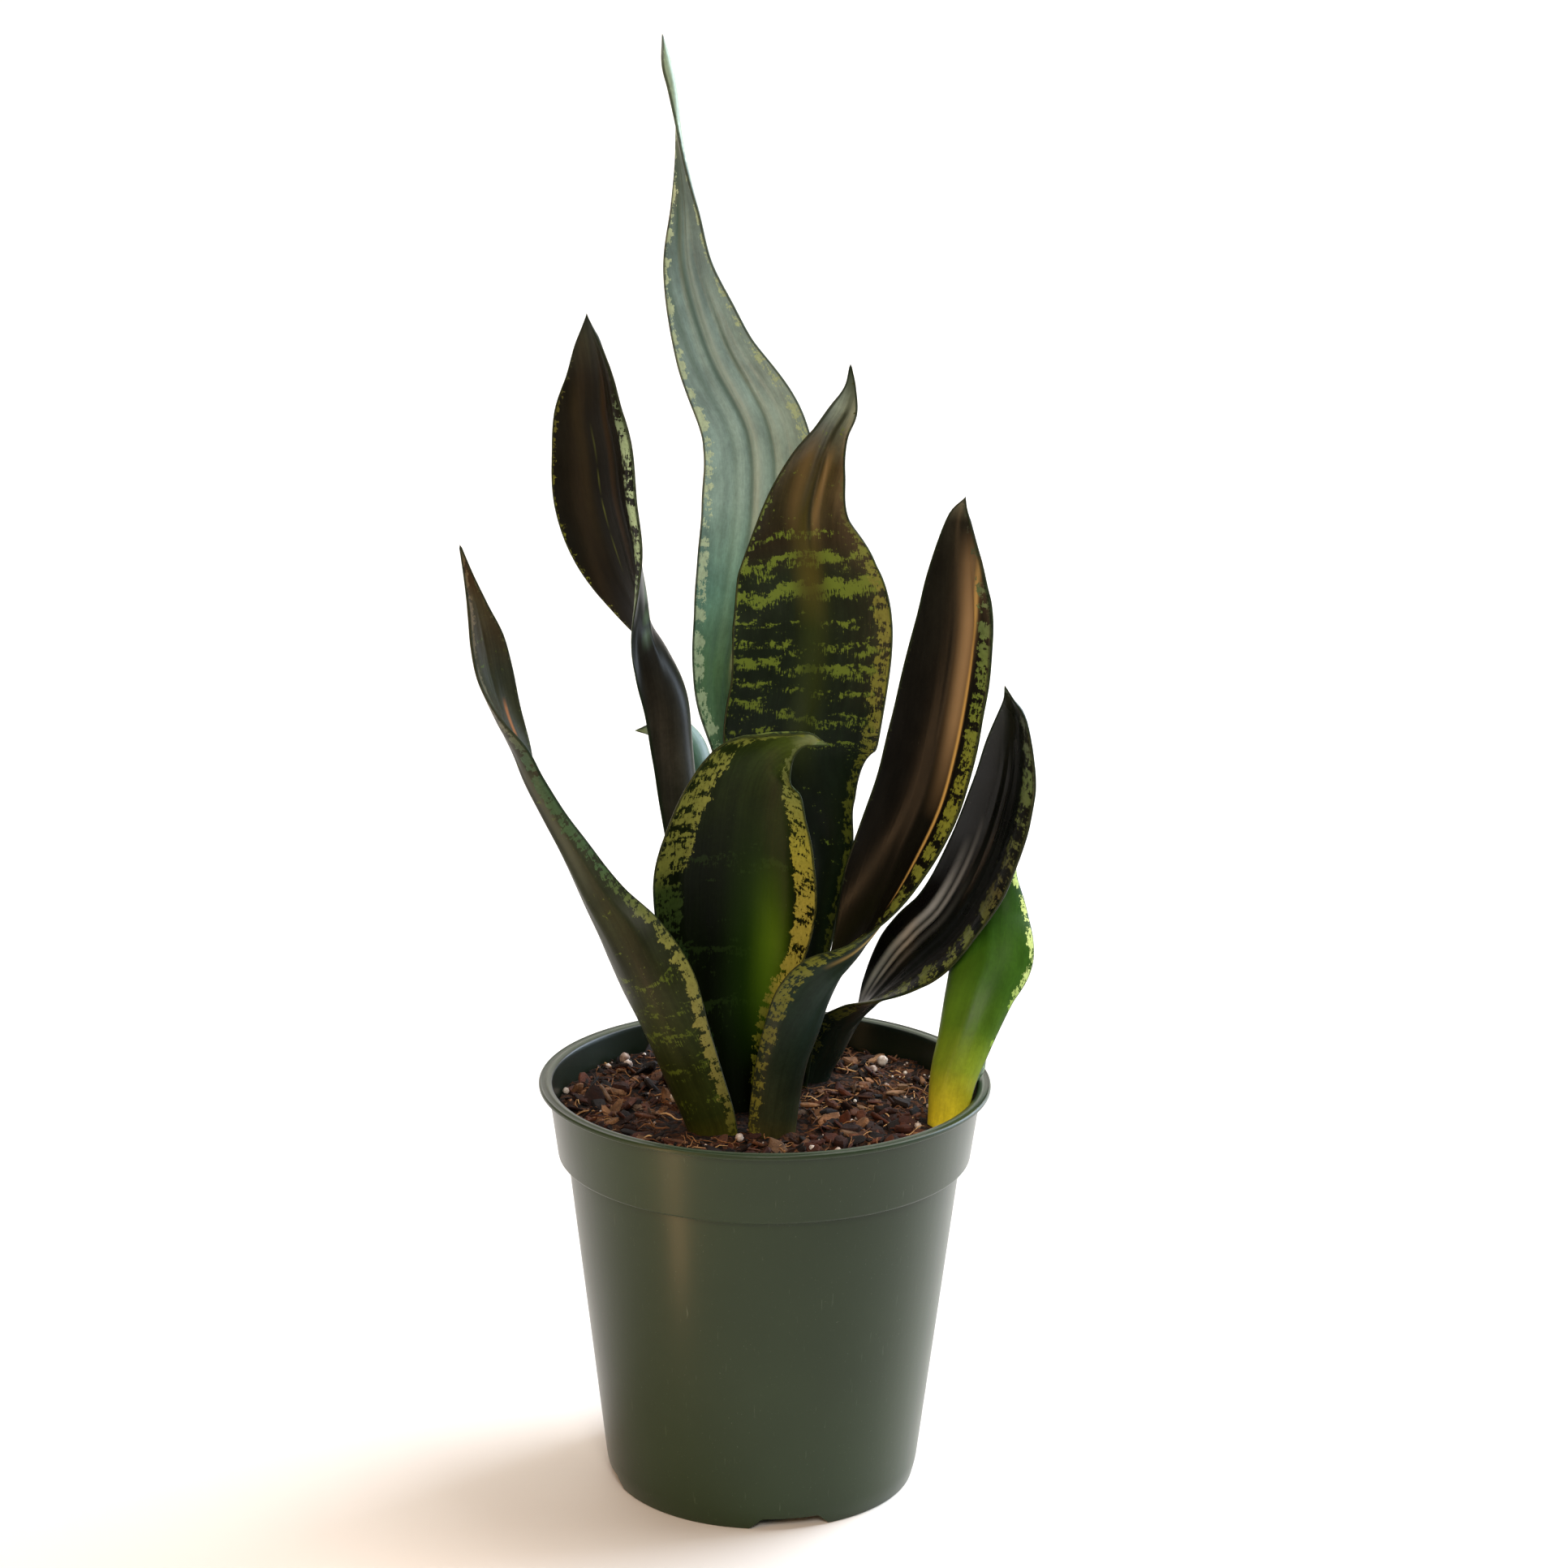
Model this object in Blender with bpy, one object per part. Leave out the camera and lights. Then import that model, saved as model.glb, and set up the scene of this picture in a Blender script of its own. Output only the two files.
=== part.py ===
"""A snake plant with ten leaves, growing in a round plastic nursery pot.

Lengths are in millimetres and angles in degrees, and each mesh is made in metres.
+Z is up and the plant is seen from -Y. The pot's axis is PLANT_OFFSET away from the
origin, which is the middle of the whole plant's footprint, on the surface below it.
"""
import math
import random

import bmesh
import bpy
from mathutils import Vector

MM = 0.001
PLANT_OFFSET = (5.0, 0.0)

# Pot
POT_HEIGHT = 148.0
LIP_RADIUS = 80.0
LIP_WIDTH = 3.2
LIP_THICKNESS = 1.8
LIP_EDGE = 0.5
BAND_HEIGHT = 27.0
BAND_OVERHANG = 3.3
BAND_TAPER = 3.5
BAND_STEP = 3.4
FOOT_RADIUS = 54.5
FOOT_CHAMFER = (1.6, 6.0)
WALL = 1.3
FLOOR_LIFT = 3.4
FOOT_RING_WIDTH = 3.4
POT_SIDES = 64

# Ways out for water: notches through the foot ring, slots in the floor and a middle hole
NOTCH_COUNT = 4
NOTCH_TURN = 11.0
NOTCH_TOP_WIDTH = 24.0
NOTCH_BOTTOM_WIDTH = 37.0
NOTCH_HEIGHT = 3.0
DRAIN_SLOT = (9.0, 16.0)
DRAIN_SLOT_INSET = 9.0
DRAIN_HOLE_RADIUS = 6.0
CUT_PAST = 1.0

# Potting mix
MIX_DROP = 11.0
MIX_SWELL = 1.3
MIX_SHORT_SWELL = 0.45
MIX_LONG_WAVE = (19.0, 23.0)
MIX_LONG_START = (0.6, -0.4)
MIX_SHORT_WAVE = (7.5, 9.0)
MIX_RINGS = 7
MIX_FIT = 0.35

# Bark chips and perlite grains lying on the mix. A chip's section lists its reach and
# its height from the bottom up, each as a share of the full chip.
CHIP_COUNT = 12
CHIP_LENGTH = (8.0, 14.0)
CHIP_SLIM = (0.5, 0.75)
CHIP_THICKNESS = (2.0, 3.4)
CHIP_CORNER = (0.78, 1.0)
CHIP_SECTION = ((0.82, 0.0), (1.0, 0.45), (0.88, 1.0))
CHIP_SIDES = 7
GRAIN_COUNT = 8
GRAIN_RADIUS = (1.3, 2.0)
LITTER_GAP = 0.4
LITTER_SPACING = 2.5
LITTER_SEED = 11
GROUND_SHARES = (0.5, 1.0, 1.3)
GROUND_SIDES = 12

# Leaves
LEAF_MID_THICKNESS = 2.4
LEAF_EDGE_THICKNESS = 1.0
LEAF_STRIPS = 5
FULL_THICKNESS_WIDTH = 8.0
ROOT_DEPTH = 25.0
PUP_ROOT_DEPTH = 13.0
ROOT_SHARE = 0.9
ROOT_LEAN = 0.1
FOOTPRINT_SHARE = 0.62
PUP_WALL_GAP = 11.1
SOCKET_FIT = 0.35

LIP_INNER_RADIUS = LIP_RADIUS - LIP_WIDTH
BAND_TOP_RADIUS = LIP_RADIUS - BAND_OVERHANG
BAND_FOOT_RADIUS = BAND_TOP_RADIUS - BAND_TAPER
BAND_FOOT_Z = POT_HEIGHT - BAND_HEIGHT
BODY_TOP_RADIUS = BAND_FOOT_RADIUS - BAND_STEP
BODY_FOOT_RADIUS = FOOT_RADIUS + FOOT_CHAMFER[0]
FLOOR_TOP = FLOOR_LIFT + WALL
MIX_LEVEL = POT_HEIGHT - MIX_DROP
PUP_X = BAND_TOP_RADIUS - WALL - PUP_WALL_GAP

# Each leaf has the place of its base, how deep it is rooted, and its stations from the
# base up. A station is (x, y) from the base, height above the mix, width from margin to
# margin, the way that its hollow face looks, and how far it is folded into a channel.
# A way of 0 looks to the front, and 90 looks to +X.
LEAVES = {
    "tall_back_leaf": ((-8, 31), ROOT_DEPTH, (
        (0, 0, 0, 12, 15, 70), (-1, 1, 70, 12, 10, 60), (-3, 3, 115, 14, 5, 50),
        (-5, 5, 144, 27, 0, 40), (0, 6, 175, 37, -3, 35), (4, 7, 208, 40, -3, 32),
        (2, 8, 235, 37, -5, 30), (-12, 8, 263, 28, -10, 28), (-21, 7, 291, 19, -20, 30),
        (-23, 6, 313, 11, -35, 30), (-25, 5, 333, 6, -70, 25), (-27, 4, 352, 5, -115, 20),
        (-29, 3, 362, 5, -125, 15), (-30, 3, 371, 1, -125, 10))),
    "centre_leaf": ((8, 14), ROOT_DEPTH, (
        (0, 0, 0, 14, 25, 70), (6, -2, 58, 19, 20, 60), (10, -4, 88, 24, 15, 50),
        (7, -5, 107, 32, 10, 38), (3, -6, 127, 52, 4, 28), (6, -6, 151, 54, 0, 22),
        (7, -5, 173, 55, -2, 20), (5, -3, 192, 48, -4, 20), (4, -1, 210, 31, -2, 24),
        (8, 0, 227, 20, 2, 30), (13, 0, 239, 12, 18, 42), (17, 0, 247, 9, 10, 45),
        (19, 0, 255, 4, 10, 25), (19, 0, 262, 1, 10, 10))),
    "front_leaf": ((-9, -11), ROOT_DEPTH, (
        (0, 0, 0, 15, 0, 75), (-2, -1, 25, 20, 0, 70), (-3, -2, 45, 36, 0, 62),
        (-2, -3, 64, 51, 0, 55), (-2, -4, 82, 56, 0, 50), (-1, -5, 98, 52, 0, 48),
        (1, -6, 114, 43, 2, 48), (5, -7, 127, 32, 6, 52), (11, -8, 134, 17, 15, 60),
        (17, -10, 138, 8, 35, 55), (23, -12, 140, 5, 55, 40), (29, -14, 139, 1, 60, 20))),
    "left_twisted_leaf": ((-17, -22), ROOT_DEPTH, (
        (0, 0, 0, 20, 140, 70), (-6, 0, 19, 23, 140, 72), (-12, 0, 37, 26, 138, 74),
        (-18, 0, 55, 31, 135, 76), (-26, 0, 70, 28, 132, 76), (-36, 0, 84, 20, 128, 74),
        (-45, 0, 99, 15, 120, 70), (-53, 1, 112, 12, 112, 66), (-60, 2, 125, 12, 105, 60),
        (-64, 3, 136, 16, 92, 50), (-70, 4, 147, 18, 75, 40), (-75, 5, 160, 17, 55, 34),
        (-78, 5, 172, 14, 45, 32), (-81, 5, 183, 8, 40, 30), (-84, 5, 193, 4, 30, 25),
        (-87, 5, 204, 1, 30, 10))),
    "back_left_leaf": ((-18, 20), ROOT_DEPTH, (
        (0, 0, 0, 12, -150, 75), (-4, 1, 42, 12, -148, 74), (-9, 2, 78, 12, -145, 72),
        (-13, 3, 103, 12, -142, 70), (-16, 4, 124, 14, -138, 68), (-19, 5, 142, 18, -130, 64),
        (-25, 6, 155, 21, -112, 60), (-32, 7, 166, 25, -88, 58), (-37, 8, 180, 31, -64, 56),
        (-41, 9, 194, 36, -50, 54), (-45, 10, 211, 38, -45, 52), (-46, 11, 228, 35, -42, 50),
        (-47, 12, 241, 29, -40, 50), (-46, 13, 254, 20, -40, 48), (-46, 13, 265, 12, -40, 44),
        (-46, 13, 272, 5, -40, 30), (-46, 13, 276, 1, -40, 12))),
    "right_bronze_leaf": ((2, -22), ROOT_DEPTH, (
        (0, 0, 0, 17, -150, 72), (3, 0, 24, 18, -150, 72), (7, 0, 39, 20, -146, 72),
        (10, 0, 50, 22, -134, 70), (15, 1, 61, 25, -112, 66), (23, 2, 72, 28, -86, 62),
        (31, 3, 85, 30, -64, 58), (39, 4, 100, 31, -50, 55), (47, 5, 118, 32, -41, 54),
        (52, 6, 137, 32, -37, 52), (56, 8, 157, 30, -33, 50), (59, 10, 176, 26, -30, 48),
        (60, 12, 192, 20, -28, 48), (61, 14, 206, 13, -28, 44), (62, 16, 215, 7, -28, 36),
        (64, 18, 220, 1, -28, 15))),
    "right_low_leaf": ((17, 30), ROOT_DEPTH, (
        (0, 0, 0, 10, -150, 72), (5, -1, 14, 12, -148, 72), (9, -3, 26, 16, -138, 70),
        (14, -7, 36, 20, -112, 66), (23, -12, 46, 24, -86, 62), (32, -17, 55, 26, -68, 60),
        (42, -23, 66, 26, -57, 58), (51, -29, 82, 26, -48, 56), (58, -34, 100, 25, -42, 54),
        (63, -37, 119, 22, -38, 52), (65, -39, 134, 17, -36, 50), (66, -40, 145, 11, -36, 42),
        (65, -41, 152, 4, -36, 26), (64, -41, 156, 1, -36, 12))),
    "hidden_back_leaf": ((-19, 44), ROOT_DEPTH, (
        (0, 0, 0, 10, -150, 70), (-4, 1, 51, 11, -150, 66), (-8, 2, 93, 15, -152, 60),
        (-11, 3, 113, 19, -155, 50), (-15, 3, 123, 15, -155, 40), (-22, 3, 126, 6, -150, 25),
        (-28, 2, 126, 1, -150, 10))),
    "young_pup_leaf": ((PUP_X, -15), PUP_ROOT_DEPTH, (
        (0, 0, 0, 13, 155, 60), (2, 2, 16, 16, 155, 58), (6, 6, 29, 19, 156, 55),
        (11, 13, 43, 24, 158, 50), (16, 22, 55, 29, 160, 46), (17, 30, 68, 23, 160, 46),
        (17, 35, 84, 14, 165, 46), (21, 38, 103, 10, 170, 40), (25, 40, 117, 6, 170, 30),
        (28, 41, 127, 1, 170, 10))),
    "pup_sheath_leaf": ((PUP_X, -2), PUP_ROOT_DEPTH, (
        (0, 0, 0, 11, -160, 68), (3, 1, 10, 12, -157, 60), (8, 3, 18, 13, -155, 45),
        (12, 4, 23, 5, -152, 25), (15, 4, 25, 1, -150, 10))),
}

COLOURS = {
    "nursery_pot": ((0.045, 0.075, 0.045), 0.45),
    "potting_mix": ((0.060, 0.025, 0.014), 0.95),
    "bark_chip": ((0.120, 0.040, 0.022), 0.85),
    "perlite_grain": ((0.750, 0.730, 0.690), 0.90),
    "tall_back_leaf": ((0.090, 0.200, 0.150), 0.40),
    "centre_leaf": ((0.040, 0.070, 0.018), 0.35),
    "front_leaf": ((0.030, 0.060, 0.014), 0.35),
    "left_twisted_leaf": ((0.050, 0.065, 0.022), 0.40),
    "back_left_leaf": ((0.035, 0.028, 0.020), 0.35),
    "right_bronze_leaf": ((0.060, 0.036, 0.022), 0.35),
    "right_low_leaf": ((0.012, 0.012, 0.010), 0.25),
    "hidden_back_leaf": ((0.040, 0.080, 0.050), 0.40),
    "young_pup_leaf": ((0.190, 0.380, 0.045), 0.40),
    "pup_sheath_leaf": ((0.040, 0.110, 0.025), 0.40),
}


def material_for(name):
    """Give a sub-part its own plain material."""
    colour, roughness = COLOURS[name.rstrip("_0123456789")]
    material = bpy.data.materials.new(name)
    material.use_nodes = True
    shader = material.node_tree.nodes["Principled BSDF"]
    shader.inputs["Base Color"].default_value = (*colour, 1.0)
    shader.inputs["Roughness"].default_value = roughness
    return material


def object_from(bm, name, parent, cutter=False):
    """Turn a bmesh in millimetres into a named object; a cutter is only a guide."""
    bmesh.ops.scale(bm, vec=(MM, MM, MM), verts=bm.verts)
    bmesh.ops.recalc_face_normals(bm, faces=bm.faces)
    mesh = bpy.data.meshes.new(name)
    bm.to_mesh(mesh)
    bm.free()
    obj = bpy.data.objects.new(name, mesh)
    bpy.context.scene.collection.objects.link(obj)
    obj.parent = parent
    if cutter:
        obj.hide_render = True
        obj.display_type = "WIRE"
    else:
        mesh.materials.append(material_for(name))
        mesh.shade_smooth()
        mesh.set_sharp_from_angle(angle=math.radians(35))
    return obj


def cut_away(obj, cutters):
    """Take each cutter's shape out of an object."""
    for cutter in cutters:
        cut = obj.modifiers.new(cutter.name, "BOOLEAN")
        cut.operation = "DIFFERENCE"
        cut.solver = "EXACT"
        cut.object = cutter


def add_loft(bm, rings, closed=False):
    """Skin a row of rings of points; an open row gets a flat cap at each end."""
    rows = [[bm.verts.new(point) for point in ring] for ring in rings]
    count = len(rows[0])
    pairs = list(zip(rows, rows[1:]))
    if closed:
        pairs.append((rows[-1], rows[0]))
    for lower, upper in pairs:
        for i in range(count):
            j = (i + 1) % count
            bm.faces.new((lower[i], lower[j], upper[j], upper[i]))
    if not closed:
        bm.faces.new(rows[0][::-1])
        bm.faces.new(rows[-1])


def turned(profile, sides):
    """Turn a closed (radius, height) profile round the Z axis into rings of points."""
    rings = []
    for i in range(sides):
        angle = 2 * math.pi * i / sides
        rings.append([(r * math.cos(angle), r * math.sin(angle), z) for r, z in profile])
    return rings


# ---- Pot ----------------------------------------------------------------------------

def band_inner_radius(z):
    """Inside radius of the band at a height, narrowing towards its foot."""
    share = (z - BAND_FOOT_Z) / BAND_HEIGHT
    return BAND_FOOT_RADIUS - WALL + BAND_TAPER * share


def body_inner_radius(z):
    """Inside radius of the tapered body at a height."""
    share = (z - FOOT_CHAMFER[1]) / (BAND_FOOT_Z - FOOT_CHAMFER[1])
    return BODY_FOOT_RADIUS + (BODY_TOP_RADIUS - BODY_FOOT_RADIUS) * share - WALL


def pot_profile():
    """Section of the pot: lip, band, step, body, chamfered foot ring and raised floor."""
    lip_foot = POT_HEIGHT - LIP_THICKNESS
    ring_inner = FOOT_RADIUS - FOOT_RING_WIDTH
    shoulder = BAND_FOOT_Z + WALL
    return [
        (LIP_INNER_RADIUS, POT_HEIGHT),
        (LIP_RADIUS - LIP_EDGE, POT_HEIGHT),
        (LIP_RADIUS, POT_HEIGHT - LIP_EDGE),
        (LIP_RADIUS, lip_foot),
        (BAND_TOP_RADIUS, lip_foot),
        (BAND_FOOT_RADIUS, BAND_FOOT_Z),
        (BODY_TOP_RADIUS, BAND_FOOT_Z),
        (BODY_FOOT_RADIUS, FOOT_CHAMFER[1]),
        (FOOT_RADIUS, 0.0),
        (ring_inner, 0.0),
        (ring_inner, FLOOR_LIFT),
        (DRAIN_HOLE_RADIUS, FLOOR_LIFT),
        (DRAIN_HOLE_RADIUS, FLOOR_TOP),
        (body_inner_radius(FLOOR_TOP), FLOOR_TOP),
        (body_inner_radius(BAND_FOOT_Z), BAND_FOOT_Z),
        (body_inner_radius(BAND_FOOT_Z), shoulder),
        (band_inner_radius(shoulder), shoulder),
        (band_inner_radius(lip_foot), lip_foot),
    ]


def prism(name, outline, low, high, turn, parent):
    """A cutter: a flat outline of (x, y) points from one height to another, turned on Z."""
    turn = math.radians(turn)
    rings = []
    for z in (low, high):
        ring = []
        for x, y in outline:
            across = x * math.cos(turn) - y * math.sin(turn)
            along = x * math.sin(turn) + y * math.cos(turn)
            ring.append((across, along, z))
        rings.append(ring)
    bm = bmesh.new()
    add_loft(bm, rings)
    return object_from(bm, name, parent, cutter=True)


def notch_cutter(name, turn, parent):
    """A cutter for one notch: a trapezium, wide at the bottom, through the foot ring."""
    turn = math.radians(turn)
    slope = (NOTCH_BOTTOM_WIDTH - NOTCH_TOP_WIDTH) / 2 / NOTCH_HEIGHT
    low_half = NOTCH_BOTTOM_WIDTH / 2 + slope * CUT_PAST
    shape = ((-low_half, -CUT_PAST), (low_half, -CUT_PAST),
             (NOTCH_TOP_WIDTH / 2, NOTCH_HEIGHT), (-NOTCH_TOP_WIDTH / 2, NOTCH_HEIGHT))
    rings = []
    for reach in (FOOT_RADIUS - 3 * FOOT_RING_WIDTH, BODY_TOP_RADIUS):
        ring = []
        for side, z in shape:
            x = reach * math.sin(turn) + side * math.cos(turn)
            y = -reach * math.cos(turn) + side * math.sin(turn)
            ring.append((x, y, z))
        rings.append(ring)
    bm = bmesh.new()
    add_loft(bm, rings)
    return object_from(bm, name, parent, cutter=True)


def make_pot(parent):
    """Turned shell, with its notches and drain slots cut."""
    bm = bmesh.new()
    add_loft(bm, turned(pot_profile(), POT_SIDES), closed=True)
    pot = object_from(bm, "nursery_pot", parent)
    deep, wide = DRAIN_SLOT
    reach = FOOT_RADIUS - DRAIN_SLOT_INSET - deep
    slot = ((-wide / 2, -reach - deep), (wide / 2, -reach - deep),
            (wide / 2, -reach), (-wide / 2, -reach))
    cutters = []
    for i in range(NOTCH_COUNT):
        turn = NOTCH_TURN + 360 * i / NOTCH_COUNT
        cutters.append(notch_cutter(f"notch_cutter_{i + 1}", turn, parent))
        low, high = FLOOR_LIFT - CUT_PAST, FLOOR_TOP + CUT_PAST
        cutters.append(prism(f"drain_cutter_{i + 1}", slot, low, high, turn, parent))
    cut_away(pot, cutters)
    return pot


# ---- Potting mix --------------------------------------------------------------------

def mix_height(x, y):
    """Height of the mix's loose, uneven surface."""
    long_x = x / MIX_LONG_WAVE[0] + MIX_LONG_START[0]
    long_y = y / MIX_LONG_WAVE[1] + MIX_LONG_START[1]
    short = x / MIX_SHORT_WAVE[0] - y / MIX_SHORT_WAVE[1]
    swell = MIX_SWELL * math.sin(long_x) * math.cos(long_y)
    return MIX_LEVEL + swell + MIX_SHORT_SWELL * math.sin(short)


def make_mix(parent, sockets):
    """The fill, a plug that follows the pot's inside, with a socket for each leaf."""
    low = FLOOR_TOP + MIX_FIT
    step = BAND_FOOT_Z + WALL + MIX_FIT
    edge = band_inner_radius(MIX_LEVEL) - MIX_FIT
    outline = [
        (body_inner_radius(low) - MIX_FIT, low),
        (body_inner_radius(BAND_FOOT_Z) - MIX_FIT, step),
        (band_inner_radius(step) - MIX_FIT, step),
    ]
    rings = []
    for radius, z in outline:
        rings.append([(x * radius, y * radius, z) for x, y in unit_circle(POT_SIDES)])
    for i in range(MIX_RINGS):
        radius = edge * (1 - i / MIX_RINGS)
        ring = []
        for x, y in unit_circle(POT_SIDES):
            ring.append((x * radius, y * radius, mix_height(x * radius, y * radius)))
        rings.append(ring)
    bm = bmesh.new()
    add_loft(bm, rings)
    mix = object_from(bm, "potting_mix", parent)
    cut_away(mix, sockets)
    return mix


def unit_circle(sides):
    """Points of a circle of radius one."""
    steps = [2 * math.pi * i / sides for i in range(sides)]
    return [(math.cos(step), math.sin(step)) for step in steps]


# ---- Leaves -------------------------------------------------------------------------

def leaf_stations(name):
    """A leaf's stations in pot coordinates, with its root below the mix."""
    (base_x, base_y), depth, stations = LEAVES[name]
    rows = []
    for x, y, height, width, way, fold in stations:
        rows.append((Vector((base_x + x, base_y + y, MIX_LEVEL + height)), width, way, fold))
    place, width, way, fold = rows[0]
    toward_axis = Vector((place.x, place.y, 0)).normalized() * ROOT_LEAN * depth
    root = place - toward_axis - Vector((0, 0, depth))
    rows.insert(0, (root, width * ROOT_SHARE, way, fold))
    return rows


def section_axes(rows, i, way):
    """The way across the leaf and the way out of its hollow face at one station."""
    before = rows[max(i - 1, 0)][0]
    after = rows[min(i + 1, len(rows) - 1)][0]
    along = (after - before).normalized()
    way = math.radians(way)
    facing = Vector((math.sin(way), -math.cos(way), 0))
    facing = (facing - along * facing.dot(along)).normalized()
    return along.cross(facing) * -1, facing


def leaf_ring(rows, i, grow):
    """The closed section of a leaf: its hollow face, then its round back."""
    place, width, way, fold = rows[i]
    across, facing = section_axes(rows, i, way)
    fold = math.radians(fold)
    radius = width / 2 / math.sin(fold)
    centre = place + facing * radius * math.cos(fold)
    slim = min(1.0, width / FULL_THICKNESS_WIDTH)
    front = []
    back = []
    for k in range(LEAF_STRIPS + 1):
        share = 2 * k / LEAF_STRIPS - 1
        angle = fold * share
        out = across * math.sin(angle) - facing * math.cos(angle)
        point = centre + out * radius
        if abs(share) == 1:
            past_margin = across * math.cos(angle) + facing * math.sin(angle)
            point += past_margin * share * grow
        thick = LEAF_EDGE_THICKNESS
        thick += (LEAF_MID_THICKNESS - LEAF_EDGE_THICKNESS) * (1 - share ** 2)
        front.append(point - out * grow)
        back.append(point + out * (thick * slim + grow))
    return front + back[::-1]


def make_leaf(name, parent):
    """One leaf, blade and buried root, as a closed skin over its stations."""
    rows = leaf_stations(name)
    bm = bmesh.new()
    add_loft(bm, [leaf_ring(rows, i, 0.0) for i in range(len(rows))])
    return object_from(bm, name, parent)


def socket_cutter(name, parent):
    """The space that a leaf's root takes in the mix, with its clearance."""
    rows = leaf_stations(name)
    rings = [leaf_ring(rows, i, SOCKET_FIT) for i in range(3)]
    drop = Vector((0, 0, -SOCKET_FIT))
    rings[0] = [point + drop for point in rings[0]]
    bm = bmesh.new()
    add_loft(bm, rings)
    return object_from(bm, f"{name}_socket", parent, cutter=True)


# ---- Bark and perlite on the mix ----------------------------------------------------

def leaf_footprints():
    """Round spaces that the leaves take at the mix's surface."""
    spaces = []
    for name in LEAVES:
        rows = leaf_stations(name)
        for place, width, _, _ in rows[1:3]:
            reach = FOOTPRINT_SHARE * width + LEAF_MID_THICKNESS
            spaces.append((place.x, place.y, reach))
    return spaces


def litter_places(count, reach_range, taken, draw):
    """Spots on the mix, clear of the pot, the leaves and each other."""
    room = band_inner_radius(MIX_LEVEL) - MIX_FIT
    found = []
    while len(found) < count:
        reach = draw.uniform(*reach_range)
        radius = room * math.sqrt(draw.random())
        angle = draw.uniform(0, 2 * math.pi)
        x, y = radius * math.cos(angle), radius * math.sin(angle)
        clear = radius + reach < room - LITTER_SPACING
        for other_x, other_y, other_reach in taken:
            apart = math.hypot(x - other_x, y - other_y)
            clear = clear and apart > reach + other_reach + LITTER_SPACING / 2
        if clear:
            taken.append((x, y, reach))
            found.append((x, y, reach))
    return found


def ground_under(x, y, reach):
    """The highest point of the mix under a round footprint."""
    heights = [mix_height(x, y)]
    for share in GROUND_SHARES:
        for side_x, side_y in unit_circle(GROUND_SIDES):
            heights.append(mix_height(x + side_x * reach * share, y + side_y * reach * share))
    return max(heights)


def add_chip(bm, x, y, reach, draw):
    """One flat, torn chip of bark, lying on the mix."""
    turn = draw.uniform(0, 2 * math.pi)
    slim = draw.uniform(*CHIP_SLIM)
    thick = draw.uniform(*CHIP_THICKNESS)
    corners = [draw.uniform(*CHIP_CORNER) for _ in range(CHIP_SIDES)]
    low = ground_under(x, y, reach) + LITTER_GAP
    rings = []
    for share, height in CHIP_SECTION:
        ring = []
        for (side_x, side_y), corner in zip(unit_circle(CHIP_SIDES), corners):
            along = side_x * reach * corner * share
            across = side_y * reach * corner * share * slim
            ring.append((x + along * math.cos(turn) - across * math.sin(turn),
                         y + along * math.sin(turn) + across * math.cos(turn),
                         low + height * thick))
        rings.append(ring)
    add_loft(bm, rings)


def add_grain(bm, x, y, reach):
    """One rounded grain of perlite, lying on the mix."""
    low = ground_under(x, y, reach) + LITTER_GAP
    made = bmesh.ops.create_icosphere(bm, subdivisions=1, radius=reach)
    bmesh.ops.translate(bm, verts=made["verts"], vec=(x, y, low + reach))


def make_litter(parent):
    """Loose bark chips and perlite grains, each its own object."""
    draw = random.Random(LITTER_SEED)
    taken = leaf_footprints()
    chip_reach = (CHIP_LENGTH[0] / 2, CHIP_LENGTH[1] / 2)
    for i, (x, y, reach) in enumerate(litter_places(CHIP_COUNT, chip_reach, taken, draw)):
        chip = bmesh.new()
        add_chip(chip, x, y, reach, draw)
        object_from(chip, f"bark_chip_{i + 1}", parent)
    for i, (x, y, reach) in enumerate(litter_places(GRAIN_COUNT, GRAIN_RADIUS, taken, draw)):
        grain = bmesh.new()
        add_grain(grain, x, y, reach)
        object_from(grain, f"perlite_grain_{i + 1}", parent)


def main():
    """Clear the scene and build the plant under one empty."""
    for obj in list(bpy.data.objects):
        bpy.data.objects.remove(obj, do_unlink=True)
    plant = bpy.data.objects.new("potted_snake_plant", None)
    bpy.context.scene.collection.objects.link(plant)
    plant.location = (PLANT_OFFSET[0] * MM, PLANT_OFFSET[1] * MM, 0)
    make_pot(plant)
    make_mix(plant, [socket_cutter(name, plant) for name in LEAVES])
    for name in LEAVES:
        make_leaf(name, plant)
    make_litter(plant)


main()
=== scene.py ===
"""Looks for a snake plant with ten leaves, growing in a round plastic nursery pot.

Lengths are in millimetres and angles in degrees, and each mesh is made in metres. +Z is
up and the plant is seen from -Y. A leaf's right margin is the one on +X when its hollow
face looks to -Y.
"""

import math
import random

import bmesh
import bpy
import numpy as np
from mathutils import Euler, Matrix, Vector, noise


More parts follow.
